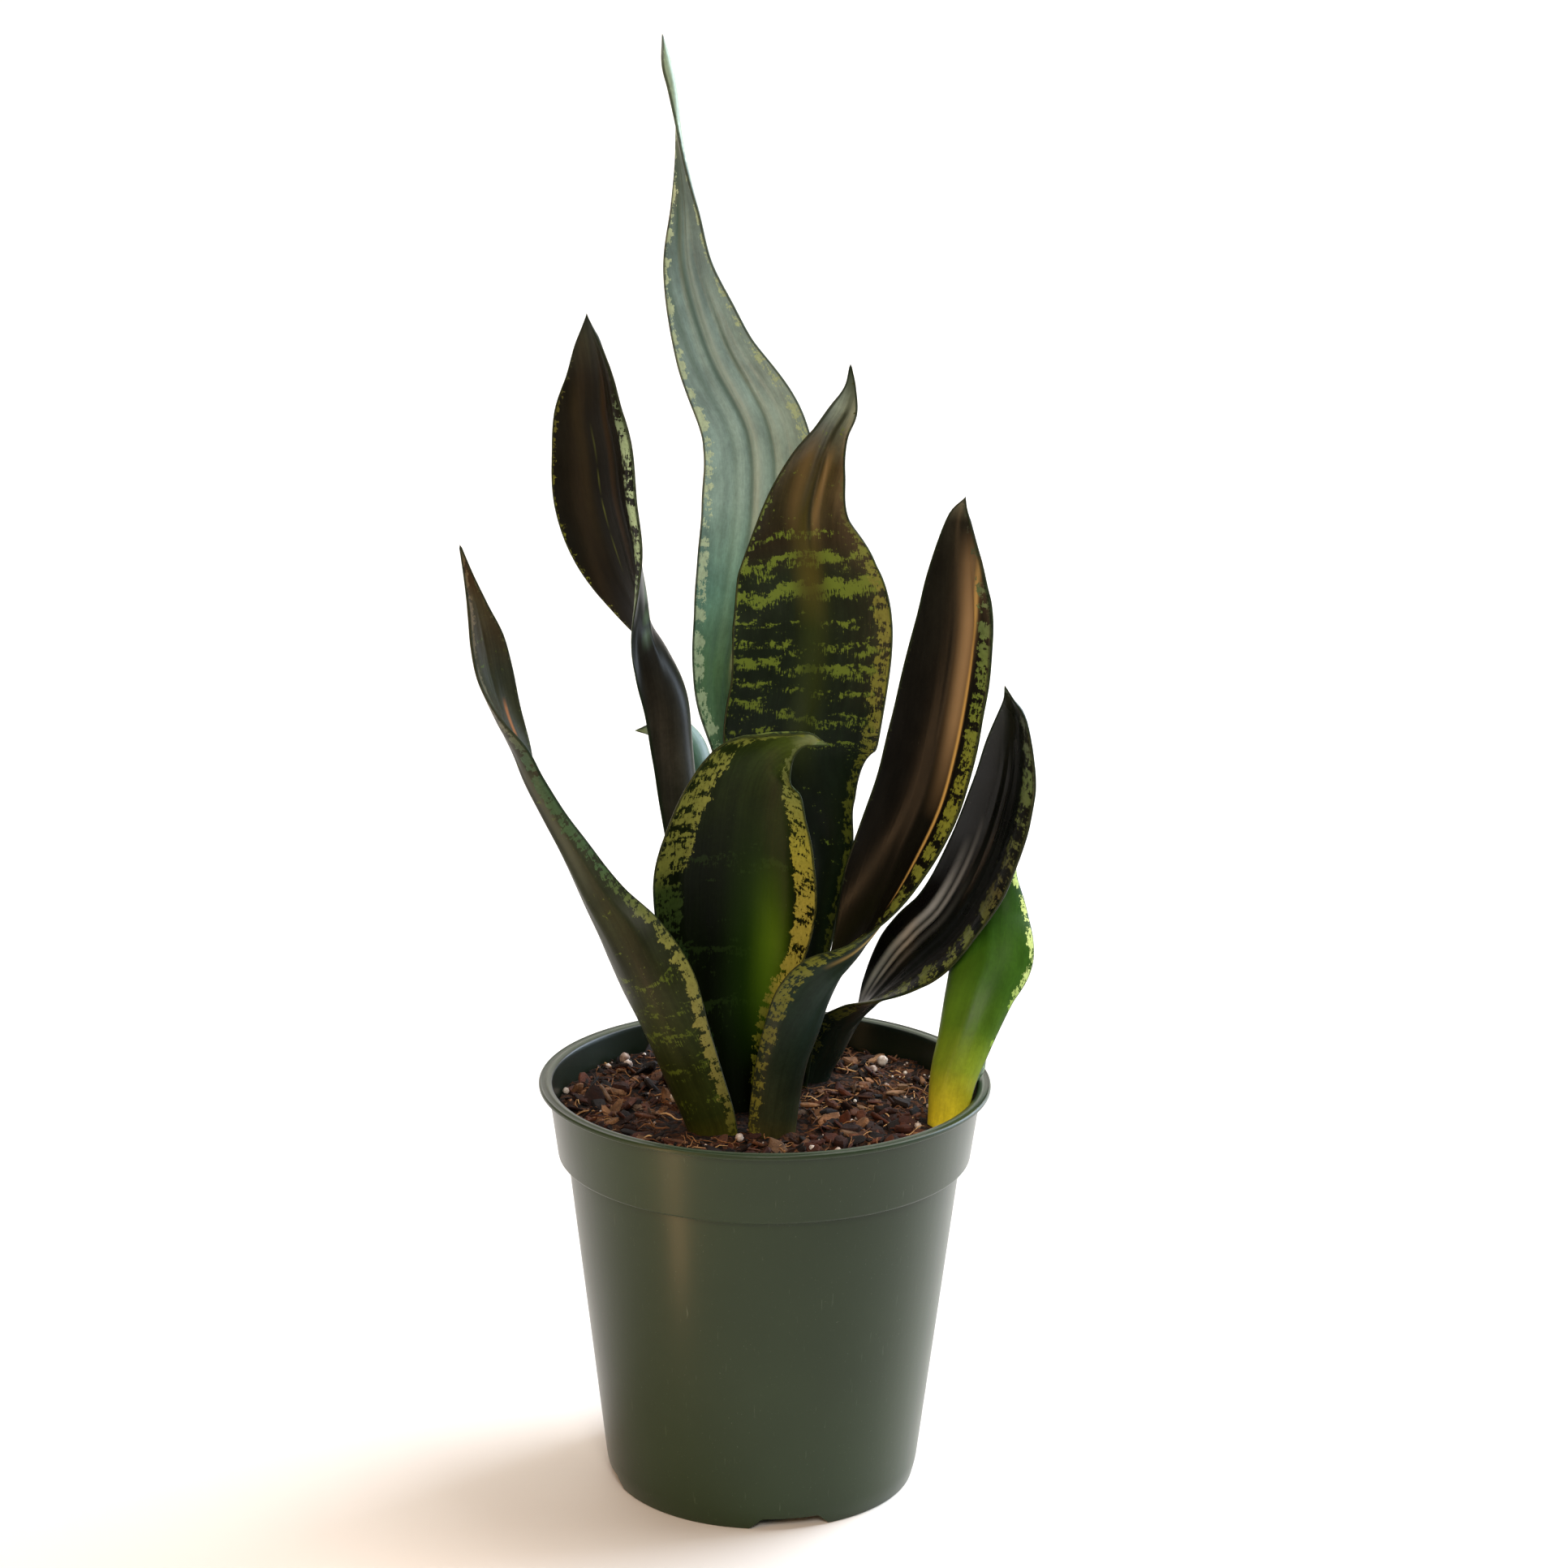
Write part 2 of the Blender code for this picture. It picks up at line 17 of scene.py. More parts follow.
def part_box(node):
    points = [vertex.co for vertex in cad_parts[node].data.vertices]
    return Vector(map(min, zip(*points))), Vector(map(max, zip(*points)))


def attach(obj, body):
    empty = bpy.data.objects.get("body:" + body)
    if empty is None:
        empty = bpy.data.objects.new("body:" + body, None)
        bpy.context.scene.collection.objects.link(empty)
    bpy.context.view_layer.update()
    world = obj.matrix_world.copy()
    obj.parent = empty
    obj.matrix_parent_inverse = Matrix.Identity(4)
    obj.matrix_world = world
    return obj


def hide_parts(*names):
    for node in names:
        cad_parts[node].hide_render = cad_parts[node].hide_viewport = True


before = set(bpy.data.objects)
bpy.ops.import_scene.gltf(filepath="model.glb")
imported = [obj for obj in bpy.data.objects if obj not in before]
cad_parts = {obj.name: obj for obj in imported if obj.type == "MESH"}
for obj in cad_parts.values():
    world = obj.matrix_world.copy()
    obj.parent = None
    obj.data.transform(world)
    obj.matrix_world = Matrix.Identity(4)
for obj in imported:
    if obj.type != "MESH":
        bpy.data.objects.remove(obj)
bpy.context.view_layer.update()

MM = 0.001
pot_low, pot_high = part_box("nursery_pot")
AXIS = Vector(((pot_low.x + pot_high.x) / 2, (pot_low.y + pot_high.y) / 2, 0))
POT_HEIGHT = pot_high.z / MM

# Pot, as turned: its outside, its foot and the thickness of its wall
LIP_RADIUS = 80.0
LIP_WIDTH = 3.2
LIP_THICKNESS = 1.8
LIP_DISH = 0.35
BAND_HEIGHT = 27.0
BAND_OVERHANG = 3.3
BAND_TAPER = 3.5
BAND_STEP = 3.4
FOOT_RADIUS = 54.5
FOOT_CHAMFER = (1.6, 6.0)
WALL = 1.3
FLOOR_LIFT = 4.8
FOOT_RING_WIDTH = 3.4
POT_SIDES = 192
NOTCH_COUNT = 4
NOTCH_TURN = 11.0
NOTCH_TOP_WIDTH = 20.0
NOTCH_BOTTOM_WIDTH = 29.0
NOTCH_HEIGHT = 4.4
DRAIN_SLOT = (9.0, 16.0)
DRAIN_SLOT_INSET = 9.0
DRAIN_HOLE_RADIUS = 6.0
CUT_PAST = 1.0

BAND_TOP_RADIUS = LIP_RADIUS - BAND_OVERHANG
BAND_FOOT_RADIUS = BAND_TOP_RADIUS - BAND_TAPER
BAND_FOOT_Z = POT_HEIGHT - BAND_HEIGHT
BODY_TOP_RADIUS = BAND_FOOT_RADIUS - BAND_STEP
BODY_FOOT_RADIUS = FOOT_RADIUS + FOOT_CHAMFER[0]
FLOOR_TOP = FLOOR_LIFT + WALL

# Potting mix
MIX_DROP = 11.0
MIX_SWELL = 1.3
MIX_SHORT_SWELL = 0.45
MIX_LONG_WAVE = (19.0, 23.0)
MIX_LONG_START = (0.6, -0.4)
MIX_SHORT_WAVE = (7.5, 9.0)
MIX_LUMP = 8.0
MIX_LUMP_RISE = 1.5
MIX_SIDES = 220
MIX_RINGS = 74
MIX_FIT = 0.35
MIX_LEVEL = POT_HEIGHT - MIX_DROP
MIX_EDGE = BAND_FOOT_RADIUS - WALL + BAND_TAPER * (MIX_LEVEL - BAND_FOOT_Z) / BAND_HEIGHT - MIX_FIT

# Leaves
MID_THICKNESS = 2.4
EDGE_THICKNESS = 1.0
FULL_THICKNESS_WIDTH = 8.0
EDGE_ROUND = 0.7
ROOT_DEPTH = 25.0
PUP_ROOT_DEPTH = 13.0
ROOT_SHARE = 0.9
ROOT_LEAN = 0.1
PUP_X = 64.3
ROW_SPACING = 1.3
HALF_COLUMNS = 44

# Each leaf has the place of its base, how deep it is rooted, and its stations from the
# base up. A station is (x, y) from the base, height above the mix, width from margin to
# margin, the way that its hollow face looks, and how far it is folded into a channel.
# A way of 0 looks to the front, and 90 looks to +X.
LEAVES = {
    "tall_back_leaf": ((-8, 31), ROOT_DEPTH, (
        (0, 0, 0, 12, 15, 70), (-1, 1, 70, 12, 10, 60), (-3, 3, 115, 14, 5, 50),
        (-5, 5, 144, 27, 0, 40), (0, 6, 175, 37, -3, 35), (4, 7, 208, 40, -3, 32),
        (2, 8, 235, 37, -5, 30), (-12, 8, 263, 28, -10, 28), (-21, 7, 291, 19, -20, 30),
        (-23, 6, 313, 11, -35, 30), (-25, 5, 333, 6, -70, 25), (-27, 4, 352, 5, -115, 20),
        (-29, 3, 362, 5, -125, 15), (-30, 3, 371, 1, -125, 10))),
    "centre_leaf": ((8, 14), ROOT_DEPTH, (
        (0, 0, 0, 14, 25, 70), (6, -2, 58, 19, 20, 60), (10, -4, 88, 24, 15, 50),
        (7, -5, 107, 32, 10, 38), (3, -6, 127, 52, 4, 28), (6, -6, 151, 54, 0, 22),
        (7, -5, 173, 55, -2, 20), (5, -3, 192, 48, -4, 20), (4, -1, 210, 31, -2, 24),
        (8, 0, 227, 20, 2, 30), (13, 0, 239, 12, 18, 42), (17, 0, 247, 9, 10, 45),
        (19, 0, 255, 4, 10, 25), (19, 0, 262, 1, 10, 10))),
    "front_leaf": ((-9, -11), ROOT_DEPTH, (
        (0, 0, 0, 15, 0, 75), (-2, -1, 25, 20, 0, 70), (-3, -2, 45, 36, 0, 62),
        (-2, -3, 64, 51, 0, 55), (-2, -4, 82, 56, 0, 50), (-1, -5, 98, 52, 0, 48),
        (1, -6, 114, 43, 2, 48), (5, -7, 127, 32, 6, 52), (11, -8, 134, 17, 15, 60),
        (17, -10, 138, 8, 35, 55), (23, -12, 140, 5, 55, 40), (29, -14, 139, 1, 60, 20))),
    "left_twisted_leaf": ((-17, -22), ROOT_DEPTH, (
        (0, 0, 0, 20, 140, 70), (-6, 0, 19, 23, 140, 72), (-12, 0, 37, 26, 138, 74),
        (-18, 0, 55, 31, 135, 76), (-26, 0, 70, 28, 132, 76), (-36, 0, 84, 20, 128, 74),
        (-45, 0, 99, 15, 120, 70), (-53, 1, 112, 12, 112, 66), (-60, 2, 125, 12, 105, 60),
        (-64, 3, 136, 16, 92, 50), (-70, 4, 147, 18, 75, 40), (-75, 5, 160, 17, 55, 34),
        (-78, 5, 172, 14, 45, 32), (-81, 5, 183, 8, 40, 30), (-84, 5, 193, 4, 30, 25),
        (-87, 5, 204, 1, 30, 10))),
    "back_left_leaf": ((-18, 20), ROOT_DEPTH, (
        (0, 0, 0, 12, -150, 75), (-4, 1, 42, 12, -148, 74), (-9, 2, 78, 12, -145, 72),
        (-13, 3, 103, 12, -142, 70), (-16, 4, 124, 14, -138, 68), (-19, 5, 142, 18, -130, 64),
        (-25, 6, 155, 21, -112, 60), (-32, 7, 166, 25, -88, 58), (-37, 8, 180, 31, -64, 56),
        (-41, 9, 194, 36, -50, 54), (-45, 10, 211, 38, -45, 52), (-46, 11, 228, 35, -42, 50),
        (-47, 12, 241, 29, -40, 50), (-46, 13, 254, 20, -40, 48), (-46, 13, 265, 12, -40, 44),
        (-46, 13, 272, 5, -40, 30), (-46, 13, 276, 1, -40, 12))),
    "right_bronze_leaf": ((2, -22), ROOT_DEPTH, (
        (0, 0, 0, 17, -150, 72), (3, 0, 24, 18, -150, 72), (7, 0, 39, 20, -146, 72),
        (10, 0, 50, 22, -134, 70), (15, 1, 61, 25, -112, 66), (23, 2, 72, 28, -86, 62),
        (31, 3, 85, 30, -64, 58), (39, 4, 100, 31, -50, 55), (47, 5, 118, 32, -41, 54),
        (52, 6, 137, 32, -37, 52), (56, 8, 157, 30, -33, 50), (59, 10, 176, 26, -30, 48),
        (60, 12, 192, 20, -28, 48), (61, 14, 206, 13, -28, 44), (62, 16, 215, 7, -28, 36),
        (64, 18, 220, 1, -28, 15))),
    "right_low_leaf": ((17, 30), ROOT_DEPTH, (
        (0, 0, 0, 10, -150, 72), (5, -1, 14, 12, -148, 72), (9, -3, 26, 16, -138, 70),
        (14, -7, 36, 20, -112, 66), (23, -12, 46, 24, -86, 62), (32, -17, 55, 26, -68, 60),
        (42, -23, 66, 26, -57, 58), (51, -29, 82, 26, -48, 56), (58, -34, 100, 25, -42, 54),
        (63, -37, 119, 22, -38, 52), (65, -39, 134, 17, -36, 50), (66, -40, 145, 11, -36, 42),
        (65, -41, 152, 4, -36, 26), (64, -41, 156, 1, -36, 12))),
    "hidden_back_leaf": ((-19, 44), ROOT_DEPTH, (
        (0, 0, 0, 10, -150, 70), (-4, 1, 51, 11, -150, 66), (-8, 2, 93, 15, -152, 60),
        (-11, 3, 113, 19, -155, 50), (-15, 3, 123, 15, -155, 40), (-22, 3, 126, 6, -150, 25),
        (-28, 2, 126, 1, -150, 10))),
    "young_pup_leaf": ((PUP_X, -15), PUP_ROOT_DEPTH, (
        (0, 0, 0, 13, 155, 60), (2, 2, 16, 16, 155, 58), (6, 6, 29, 19, 156, 55),
        (11, 13, 43, 24, 158, 50), (16, 22, 55, 29, 160, 46), (17, 30, 68, 23, 160, 46),
        (17, 35, 84, 14, 165, 46), (21, 38, 103, 10, 170, 40), (25, 40, 117, 6, 170, 30),
        (28, 41, 127, 1, 170, 10))),
    "pup_sheath_leaf": ((PUP_X, -2), PUP_ROOT_DEPTH, (
        (0, 0, 0, 11, -160, 68), (3, 1, 10, 12, -157, 60), (8, 3, 18, 13, -155, 45),
        (12, 4, 23, 5, -152, 25), (15, 4, 25, 1, -150, 10))),
}

# How each leaf's section differs from a plain arc. A crease is (place across, half its
# width, depth, from, to): the first two are shares of the half section and the last two
# lengths along the leaf. A reflexed margin is (which margin, where it starts, how far it
# turns back). A wave is how far the margins wander.
RELIEF = {
    "tall_back_leaf": dict(wave=0.7, creases=(
        (-0.45, 0.08, 0.4, 90, 335), (-0.15, 0.06, 1.0, 90, 345),
        (0.24, 0.06, 0.7, 150, 310), (0.55, 0.10, 0.3, 120, 300), (0.03, 0.12, -0.5, 150, 330))),
    "centre_leaf": dict(wave=0.8, creases=(
        (0.02, 0.10, 0.45, 120, 262), (0.10, 0.16, 1.1, 196, 250), (-0.3, 0.2, -0.35, 190, 240))),
    "front_leaf": dict(wave=0.7, creases=((-0.62, 0.07, 0.3, 30, 130), (0.62, 0.07, 0.3, 30, 130))),
    "left_twisted_leaf": dict(wave=0.6, creases=((0.0, 0.10, 0.5, 60, 210), (-0.55, 0.08, 0.3, 10, 150))),
    "back_left_leaf": dict(wave=0.5, reflex=(1, 0.72, 3.2), creases=(
        (0.30, 0.07, 0.8, 150, 275), (0.12, 0.07, -0.3, 170, 270), (-0.35, 0.10, 0.25, 160, 260))),
    "right_bronze_leaf": dict(wave=0.5, reflex=(1, 0.66, 3.4), creases=(
        (0.64, 0.05, -0.5, 60, 215), (0.0, 0.08, 0.4, 40, 200))),
    "right_low_leaf": dict(wave=0.6, reflex=(1, 0.62, 3.0), creases=(
        (0.0, 0.07, 0.7, 20, 165), (-0.25, 0.06, 0.4, 40, 160), (0.25, 0.06, 0.4, 40, 150))),
    "hidden_back_leaf": dict(wave=0.3, creases=()),
    "young_pup_leaf": dict(wave=0.4, creases=((0.0, 0.12, 0.4, 10, 120),)),
    "pup_sheath_leaf": dict(wave=0.3, creases=()),
}

# What each leaf's skin shows. "blade" and "back" are the colours along its hollow and its
# round face. A band crosses the leaf at a length, with a half height and a strength. A
# margin has its widths along the leaf, its colours along the leaf, the share of it that is
# dark, and how long its dark bars are; a plain back shows no pale margins. A stripe runs
# along the leaf: its place across, half its width, its colour, its strengths along the
# leaf, and whether it is only on the back. The grain is how much the flesh varies in
# streaks, the wear is how pale its scuffs are, and the gloss is how much of the light its
# wax sends straight back. The seed picks its own noise.
# Some stripes are painted light: highlights, sheen, glow and shade in creases, each marked below.
SKINS = {
    "tall_back_leaf": dict(
        blade=((0, "#3a5236"), (120, "#4a6b48"), (150, "#557a55"), (178, "#648e80"), (212, "#84a29d"),
               (250, "#829e9c"), (300, "#688282"), (335, "#4c6058"), (350, "#6f7a50"), (377, "#8b9a78")),
        back=((0, "#3a4c3a"), (200, "#5c7062"), (377, "#7d8c72")),
        left=(((0, 3), (130, 5.5), (200, 5), (260, 3.6), (377, 1.5)),
              ((0, "#6d8058"), (140, "#a0b68e"), (200, "#b4c8aa"), (300, "#a1b698")), 0.42, 7.0),
        right=(((0, 3), (150, 5), (200, 7), (240, 6), (300, 3), (377, 1)),
               ((0, "#5f7450"), (200, "#98b08c"), (377, "#9cb090")), 0.55, 5.0),
        # Painted shade: the three dark stripes lie along the creases; painted sheen: the pale stripe
        # along the middle
        stripes=((-8.9, 0.9, "#3f5a4c", ((110, 0), (150, 0.2), (300, 0.4), (335, 0)), 0),
                 (-3.0, 1.0, "#3a5346", ((110, 0), (170, 0.4), (240, 0.8), (320, 0.8), (345, 0)), 0),
                 (4.6, 0.8, "#3f5a4c", ((150, 0), (200, 0.4), (262, 0.7), (300, 0)), 0),
                 (-0.6, 1.8, "#93aba9", ((180, 0), (220, 0.4), (300, 0.35), (330, 0)), 0)),
        grain=0.10, wear=0.15, roughness=0.34, gloss=0.5, seed=3),
    "centre_leaf": dict(
        blade=((0, "#0a1209"), (100, "#0b140b"), (128, "#0f1a0e"), (160, "#121c0e"), (192, "#161f0f"),
               (204, "#241f10"), (214, "#2c2814"), (232, "#41381c"), (244, "#55594a"), (252, "#74806f"),
               (260, "#4c5546"), (267, "#2c3528")),
        back=((0, "#141b10"), (200, "#1d2416"), (267, "#2a2f22")),
        band_colour="#5c6e26",
        bands=((132, 2.0, 0.45), (142, 3.0, 0.55), (151, 2.4, 0.42), (159, 3.2, 0.62), (167, 3.0, 0.52),
               (175, 2.2, 0.34), (187, 4.2, 0.95), (197, 3.0, 0.72), (207, 2.6, 0.36)),
        left=(((0, 1), (120, 2.2), (200, 3.0), (225, 2.2), (245, 0.5)),
              ((0, "#1c2612"), (130, "#46581f"), (200, "#647534"), (215, "#5d6d30"),
               (232, "#3a3420")), 0.62, 3.0),
        right=(((0, 2), (118, 5), (140, 7), (185, 6.5), (205, 4), (240, 1)),
               ((0, "#202a12"), (120, "#54581e"), (140, "#6c702c"), (185, "#6a6d2c"), (200, "#5f6e2a"),
                (215, "#3a3f1e")), 0.42, 5.0),
        stripes=((0.5, 4.6, "#2b3511", ((110, 0), (130, 0.7), (185, 0.9), (205, 0)), 0),
                 (0.0, 4.0, "#4d4619", ((172, 0), (190, 0.7), (212, 0.6), (226, 0.2), (236, 0)), 0),
                 # Painted highlights: the two copper stripes near the tip; painted shade: the dark line
                 # along the crease
                 (-4.0, 2.2, "#6a5734", ((204, 0), (216, 0.45), (232, 0.6), (246, 0)), 0),
                 (3.4, 1.0, "#74603a", ((204, 0), (214, 0.5), (232, 0.6), (240, 0)), 0),
                 (1.4, 0.7, "#1e2212", ((196, 0), (210, 0.85), (250, 0.9), (258, 0)), 0)),
        grain=0.20, wear=0.30, roughness=0.33, gloss=0.28, seed=11),
    "front_leaf": dict(
        blade=((0, "#080d05"), (45, "#0a1005"), (82, "#0d1407"), (100, "#121a0a"), (118, "#1a230d"),
               (132, "#233013"), (144, "#3c4d1e"), (158, "#83936a")),
        back=((0, "#141c0e"), (158, "#2d3820")),
        band_colour="#1d2a10", bands=((40, 4, 0.5), (58, 4, 0.5), (92, 4, 0.5)),
        left=(((0, 4), (60, 11), (95, 15), (125, 12), (145, 3)),
              ((0, "#182410"), (60, "#24341a"), (82, "#36461e"), (90, "#747836"), (120, "#7c803c"),
               (140, "#6d7a38")), 0.44, 5.0),
        right=(((0, 4), (40, 9), (95, 11), (125, 9), (145, 2)),
               ((0, "#6a6c22"), (30, "#80802a"), (55, "#85833a"), (75, "#8e8a3e"), (100, "#868838"),
                (125, "#68753e"), (140, "#56663e")), 0.34, 4.0),
        # Painted glow: these two green stripes near the right margin stand for light shining through the
        # leaf
        stripes=((9.0, 9.0, "#26400a", ((14, 0), (40, 0.7), (66, 0.8), (96, 0.3), (126, 0)), 0),
                 (13.0, 5.0, "#5a7a18", ((22, 0), (44, 0.55), (62, 0.65), (78, 0.25), (96, 0)), 0)),
        grain=0.16, wear=0.25, roughness=0.34, gloss=0.08, seed=5),
    "left_twisted_leaf": dict(
        blade=((0, "#232a10"), (120, "#33342a"), (151, "#33331f"), (164, "#2c2c1a"), (178, "#2a2c1e"),
               (192, "#36301f"), (204, "#3d3724"), (212, "#40311d"), (224, "#30261c")),
        back=((0, "#3a3a10"), (8, "#242c0e"), (30, "#222a10"), (58, "#222812"), (76, "#1e2414"),
              (92, "#232a1a"), (110, "#293022"), (126, "#2c3226"), (150, "#2a2e22"), (180, "#2e2f22")),
        band_colour="#46541c",
        bands=((14, 4, 0.30), (27, 5, 0.42), (40, 5, 0.45), (50, 5, 0.42), (62, 4, 0.36)),
        left=(((0, 4.5), (50, 5.5), (80, 4.8), (110, 4), (150, 4), (224, 2.2)),
              ((0, "#55551a"), (16, "#77723a"), (40, "#807c40"), (70, "#6f7138"), (92, "#4a5a30"),
               (105, "#3c5638"), (150, "#384e3c"), (165, "#5c5e4c"), (200, "#5a4c34")), 0.30, 4.0),
        right=(((0, 1.2), (224, 1.2)), ((0, "#2c3818"), (120, "#3c4a2c"), (224, "#4a4430")), 0.3, 4.0),
        stripes=((9.5, 3.4, "#323c2c", ((20, 0), (60, 0.3), (100, 0.4), (150, 0.3), (175, 0)), 0),
                 (-3.0, 1.2, "#5a6052", ((95, 0), (115, 0.4), (140, 0.4), (152, 0)), 0),
                 (3.0, 0.6, "#a0612a", ((152, 0), (158, 0.85), (166, 0.8), (170, 0)), 0)),
        grain=0.20, wear=0.45, roughness=0.40, gloss=0.14, seed=17),
    "back_left_leaf": dict(
        blade=((0, "#10120c"), (150, "#10110b"), (186, "#100f08"), (205, "#0f100a"), (225, "#100f08"),
               (245, "#14130b"), (262, "#1a180f"), (274, "#26281c"), (283, "#202820")),
        back=((0, "#161f16"), (78, "#1e231b"), (104, "#2b2c24"), (125, "#302f28"), (143, "#22211b"),
              (160, "#191813"), (190, "#1a1812"), (283, "#26241a")),
        left=(((0, 1), (180, 1.6), (240, 2.2), (283, 0.8)),
              ((0, "#26301c"), (150, "#3c4a24"), (200, "#757e2c"), (240, "#5c5c24"),
               (262, "#3c3c24")), 0.45, 3.0),
        right=(((0, 1), (166, 2), (176, 11), (205, 11), (228, 8.5), (250, 5), (268, 1), (283, 1)),
               ((0, "#1c211a"), (164, "#26302a"), (172, "#86a584"), (200, "#9dba92"), (232, "#a2be98"),
                (250, "#5f7456"), (262, "#2c2c20")), 0.44, 7.0),
        stripes=((6.4, 1.6, "#5f7456", ((162, 0), (167, 0.5), (170, 0.1), (174, 0.6), (178, 0.1),
                                        (182, 0.6), (192, 0)), 1),
                 (-8.5, 2.0, "#26210f", ((196, 0), (215, 0.4), (250, 0.5), (266, 0)), 0),
                 (-1.0, 1.6, "#0f0e08", ((180, 0), (200, 0.6), (255, 0.7), (266, 0)), 0),
                 (-3.6, 0.25, "#5c682a", ((190, 0), (200, 0.45), (206, 0), (214, 0.6), (219, 0),
                                          (226, 0.45), (230, 0), (238, 0.3), (246, 0)), 0),
                 (3.4, 1.0, "#2b1f0e", ((186, 0), (205, 0.7), (262, 0.65), (272, 0)), 0),
                 # Painted sheen: this grey stripe along the stem's round face stands for its soft
                 # highlight
                 (-4.5, 1.6, "#4b4c40", ((20, 0), (70, 0.5), (120, 0.8), (150, 0.3), (160, 0)), 1)),
        plain_back=True, grain=0.24, wear=0.25, roughness=0.36, gloss=0.15, seed=23),
    "right_bronze_leaf": dict(
        blade=((0, "#141a12"), (60, "#100f09"), (109, "#0c0b07"), (150, "#0d0c08"), (188, "#12110b"),
               (208, "#17160f"), (226, "#201f17"), (234, "#5c5a4a")),
        back=((0, "#3a371c"), (7, "#282d1c"), (24, "#1d261b"), (44, "#1c2b23"), (63, "#1c291f"),
              (100, "#1a2117"), (234, "#26281c")),
        left=(((0, 1.2), (234, 1.0)), ((0, "#20281a"), (234, "#222216")), 0.4, 4.0),
        right=(((0, 5), (66, 6.6), (150, 6.2), (234, 3)),
               ((0, "#6a6828"), (40, "#54592a"), (66, "#666a2c"), (100, "#68702e"), (140, "#72782c"),
                (168, "#5e7030"), (200, "#4f6240"), (222, "#3c4034")), 0.50, 6.0),
        # Painted highlights: the copper band and the gold line along the crease of the reflexed margin
        stripes=((5.2, 3.4, "#8a7454", ((124, 0), (142, 0.4), (158, 0.9), (192, 1.0), (212, 0.6),
                                        (224, 0)), 0),
                 (8.8, 0.7, "#c8a660", ((64, 0), (80, 0.7), (130, 1.0), (160, 0.9), (205, 0.5),
                                        (218, 0)), 0)),
        grain=0.14, wear=0.40, roughness=0.34, gloss=0.14, seed=29),
    "right_low_leaf": dict(
        blade=((0, "#141a14"), (50, "#0d0c0a"), (90, "#090908"), (150, "#0b0c09"),
               (170, "#13150f"), (180, "#2a2c20")),
        back=((0, "#1b241c"), (24, "#17211b"), (44, "#16231e"), (100, "#161c16"), (180, "#1e221a")),
        left=(((0, 1), (180, 1)), ((0, "#1c221a"), (180, "#2c302a")), 0.4, 4.0),
        right=(((0, 3), (60, 8.0), (140, 7.5), (180, 2)),
               ((0, "#30331a"), (44, "#5c602c"), (70, "#727838"), (90, "#67743e"), (110, "#4d4b2c"),
                (128, "#505a34"), (150, "#52643e"), (168, "#4a5448")), 0.52, 7.0),
        # Painted highlights: these pale grey streaks stand for the window's reflection near the left
        # margin
        stripes=((-9.0, 1.0, "#d2ccc4", ((30, 0), (46, 0.9), (84, 0.8), (104, 0.2), (120, 0)), 0),
                 (-6.2, 0.6, "#b8b1a8", ((34, 0), (50, 0.85), (90, 0.6), (116, 0.15), (130, 0)), 0),
                 (-3.2, 0.8, "#6a655f", ((36, 0), (54, 0.7), (86, 0.3), (110, 0)), 0)),
        grain=0.12, wear=0.25, roughness=0.28, gloss=0.26, seed=31),
    "hidden_back_leaf": dict(
        blade=((0, "#2c3c2a"), (138, "#5c7a5c")),
        back=((0, "#1c2a1e"), (90, "#1f3024"), (120, "#36523e"), (138, "#7d9a84")),
        band_colour="#4c6648", bands=((60, 4, 0.4), (80, 4, 0.4), (100, 4, 0.4)),
        left=(((0, 2), (138, 2)), ((0, "#3a5238"), (138, "#6d8a68")), 0.5, 4.0),
        right=(((0, 2), (138, 2)), ((0, "#3a5238"), (138, "#6d8a68")), 0.5, 4.0),
        stripes=(), grain=0.15, wear=0.2, roughness=0.38, gloss=0.4, seed=37),
    "young_pup_leaf": dict(
        blade=((0, "#8a9a2a"), (40, "#5c8028"), (140, "#3f6428")),
        back=((0, "#d2c62e"), (9, "#bab62c"), (20, "#788c22"), (34, "#466616"), (50, "#2f5010"),
               (66, "#2b4d0c"), (84, "#22400a"), (110, "#223c0e"), (140, "#3c5c22")),
        left=(((0, 0.5), (44, 1.5), (52, 3.8), (100, 3.4), (118, 1)),
              ((0, "#7d9a2c"), (44, "#7d9c38"), (58, "#b3c478"), (78, "#c2cf7c"), (98, "#a8bc60"),
               (118, "#5c7c2c")), 0.44, 8.0),
        right=(((0, 1), (140, 1)), ((0, "#a89a28"), (30, "#56781e"), (140, "#3c5c1c")), 0.3, 5.0),
        stripes=((6.5, 5.0, "#6f962c", ((0, 0), (20, 0.22), (48, 0.2), (62, 0.1), (76, 0)), 0),),
        grain=0.05, wear=0.08, roughness=0.38, gloss=0.16, seed=41),
    "pup_sheath_leaf": dict(
        blade=((0, "#3a5a1c"), (30, "#2a4a12")),
        back=((0, "#33541a"), (12, "#254610"), (30, "#1f3c0e")),
        band_colour="#4f7a24", bands=((5, 2.2, 0.5), (11, 2.2, 0.6), (17, 2.2, 0.5), (22, 2, 0.5)),
        left=(((0, 1.2), (30, 1)), ((0, "#55802c"), (30, "#45702a")), 0.4, 4.0),
        right=(((0, 1.2), (30, 1)), ((0, "#55802c"), (30, "#45702a")), 0.4, 4.0),
        stripes=(), grain=0.15, wear=0.1, roughness=0.38, gloss=0.4, seed=43),
}

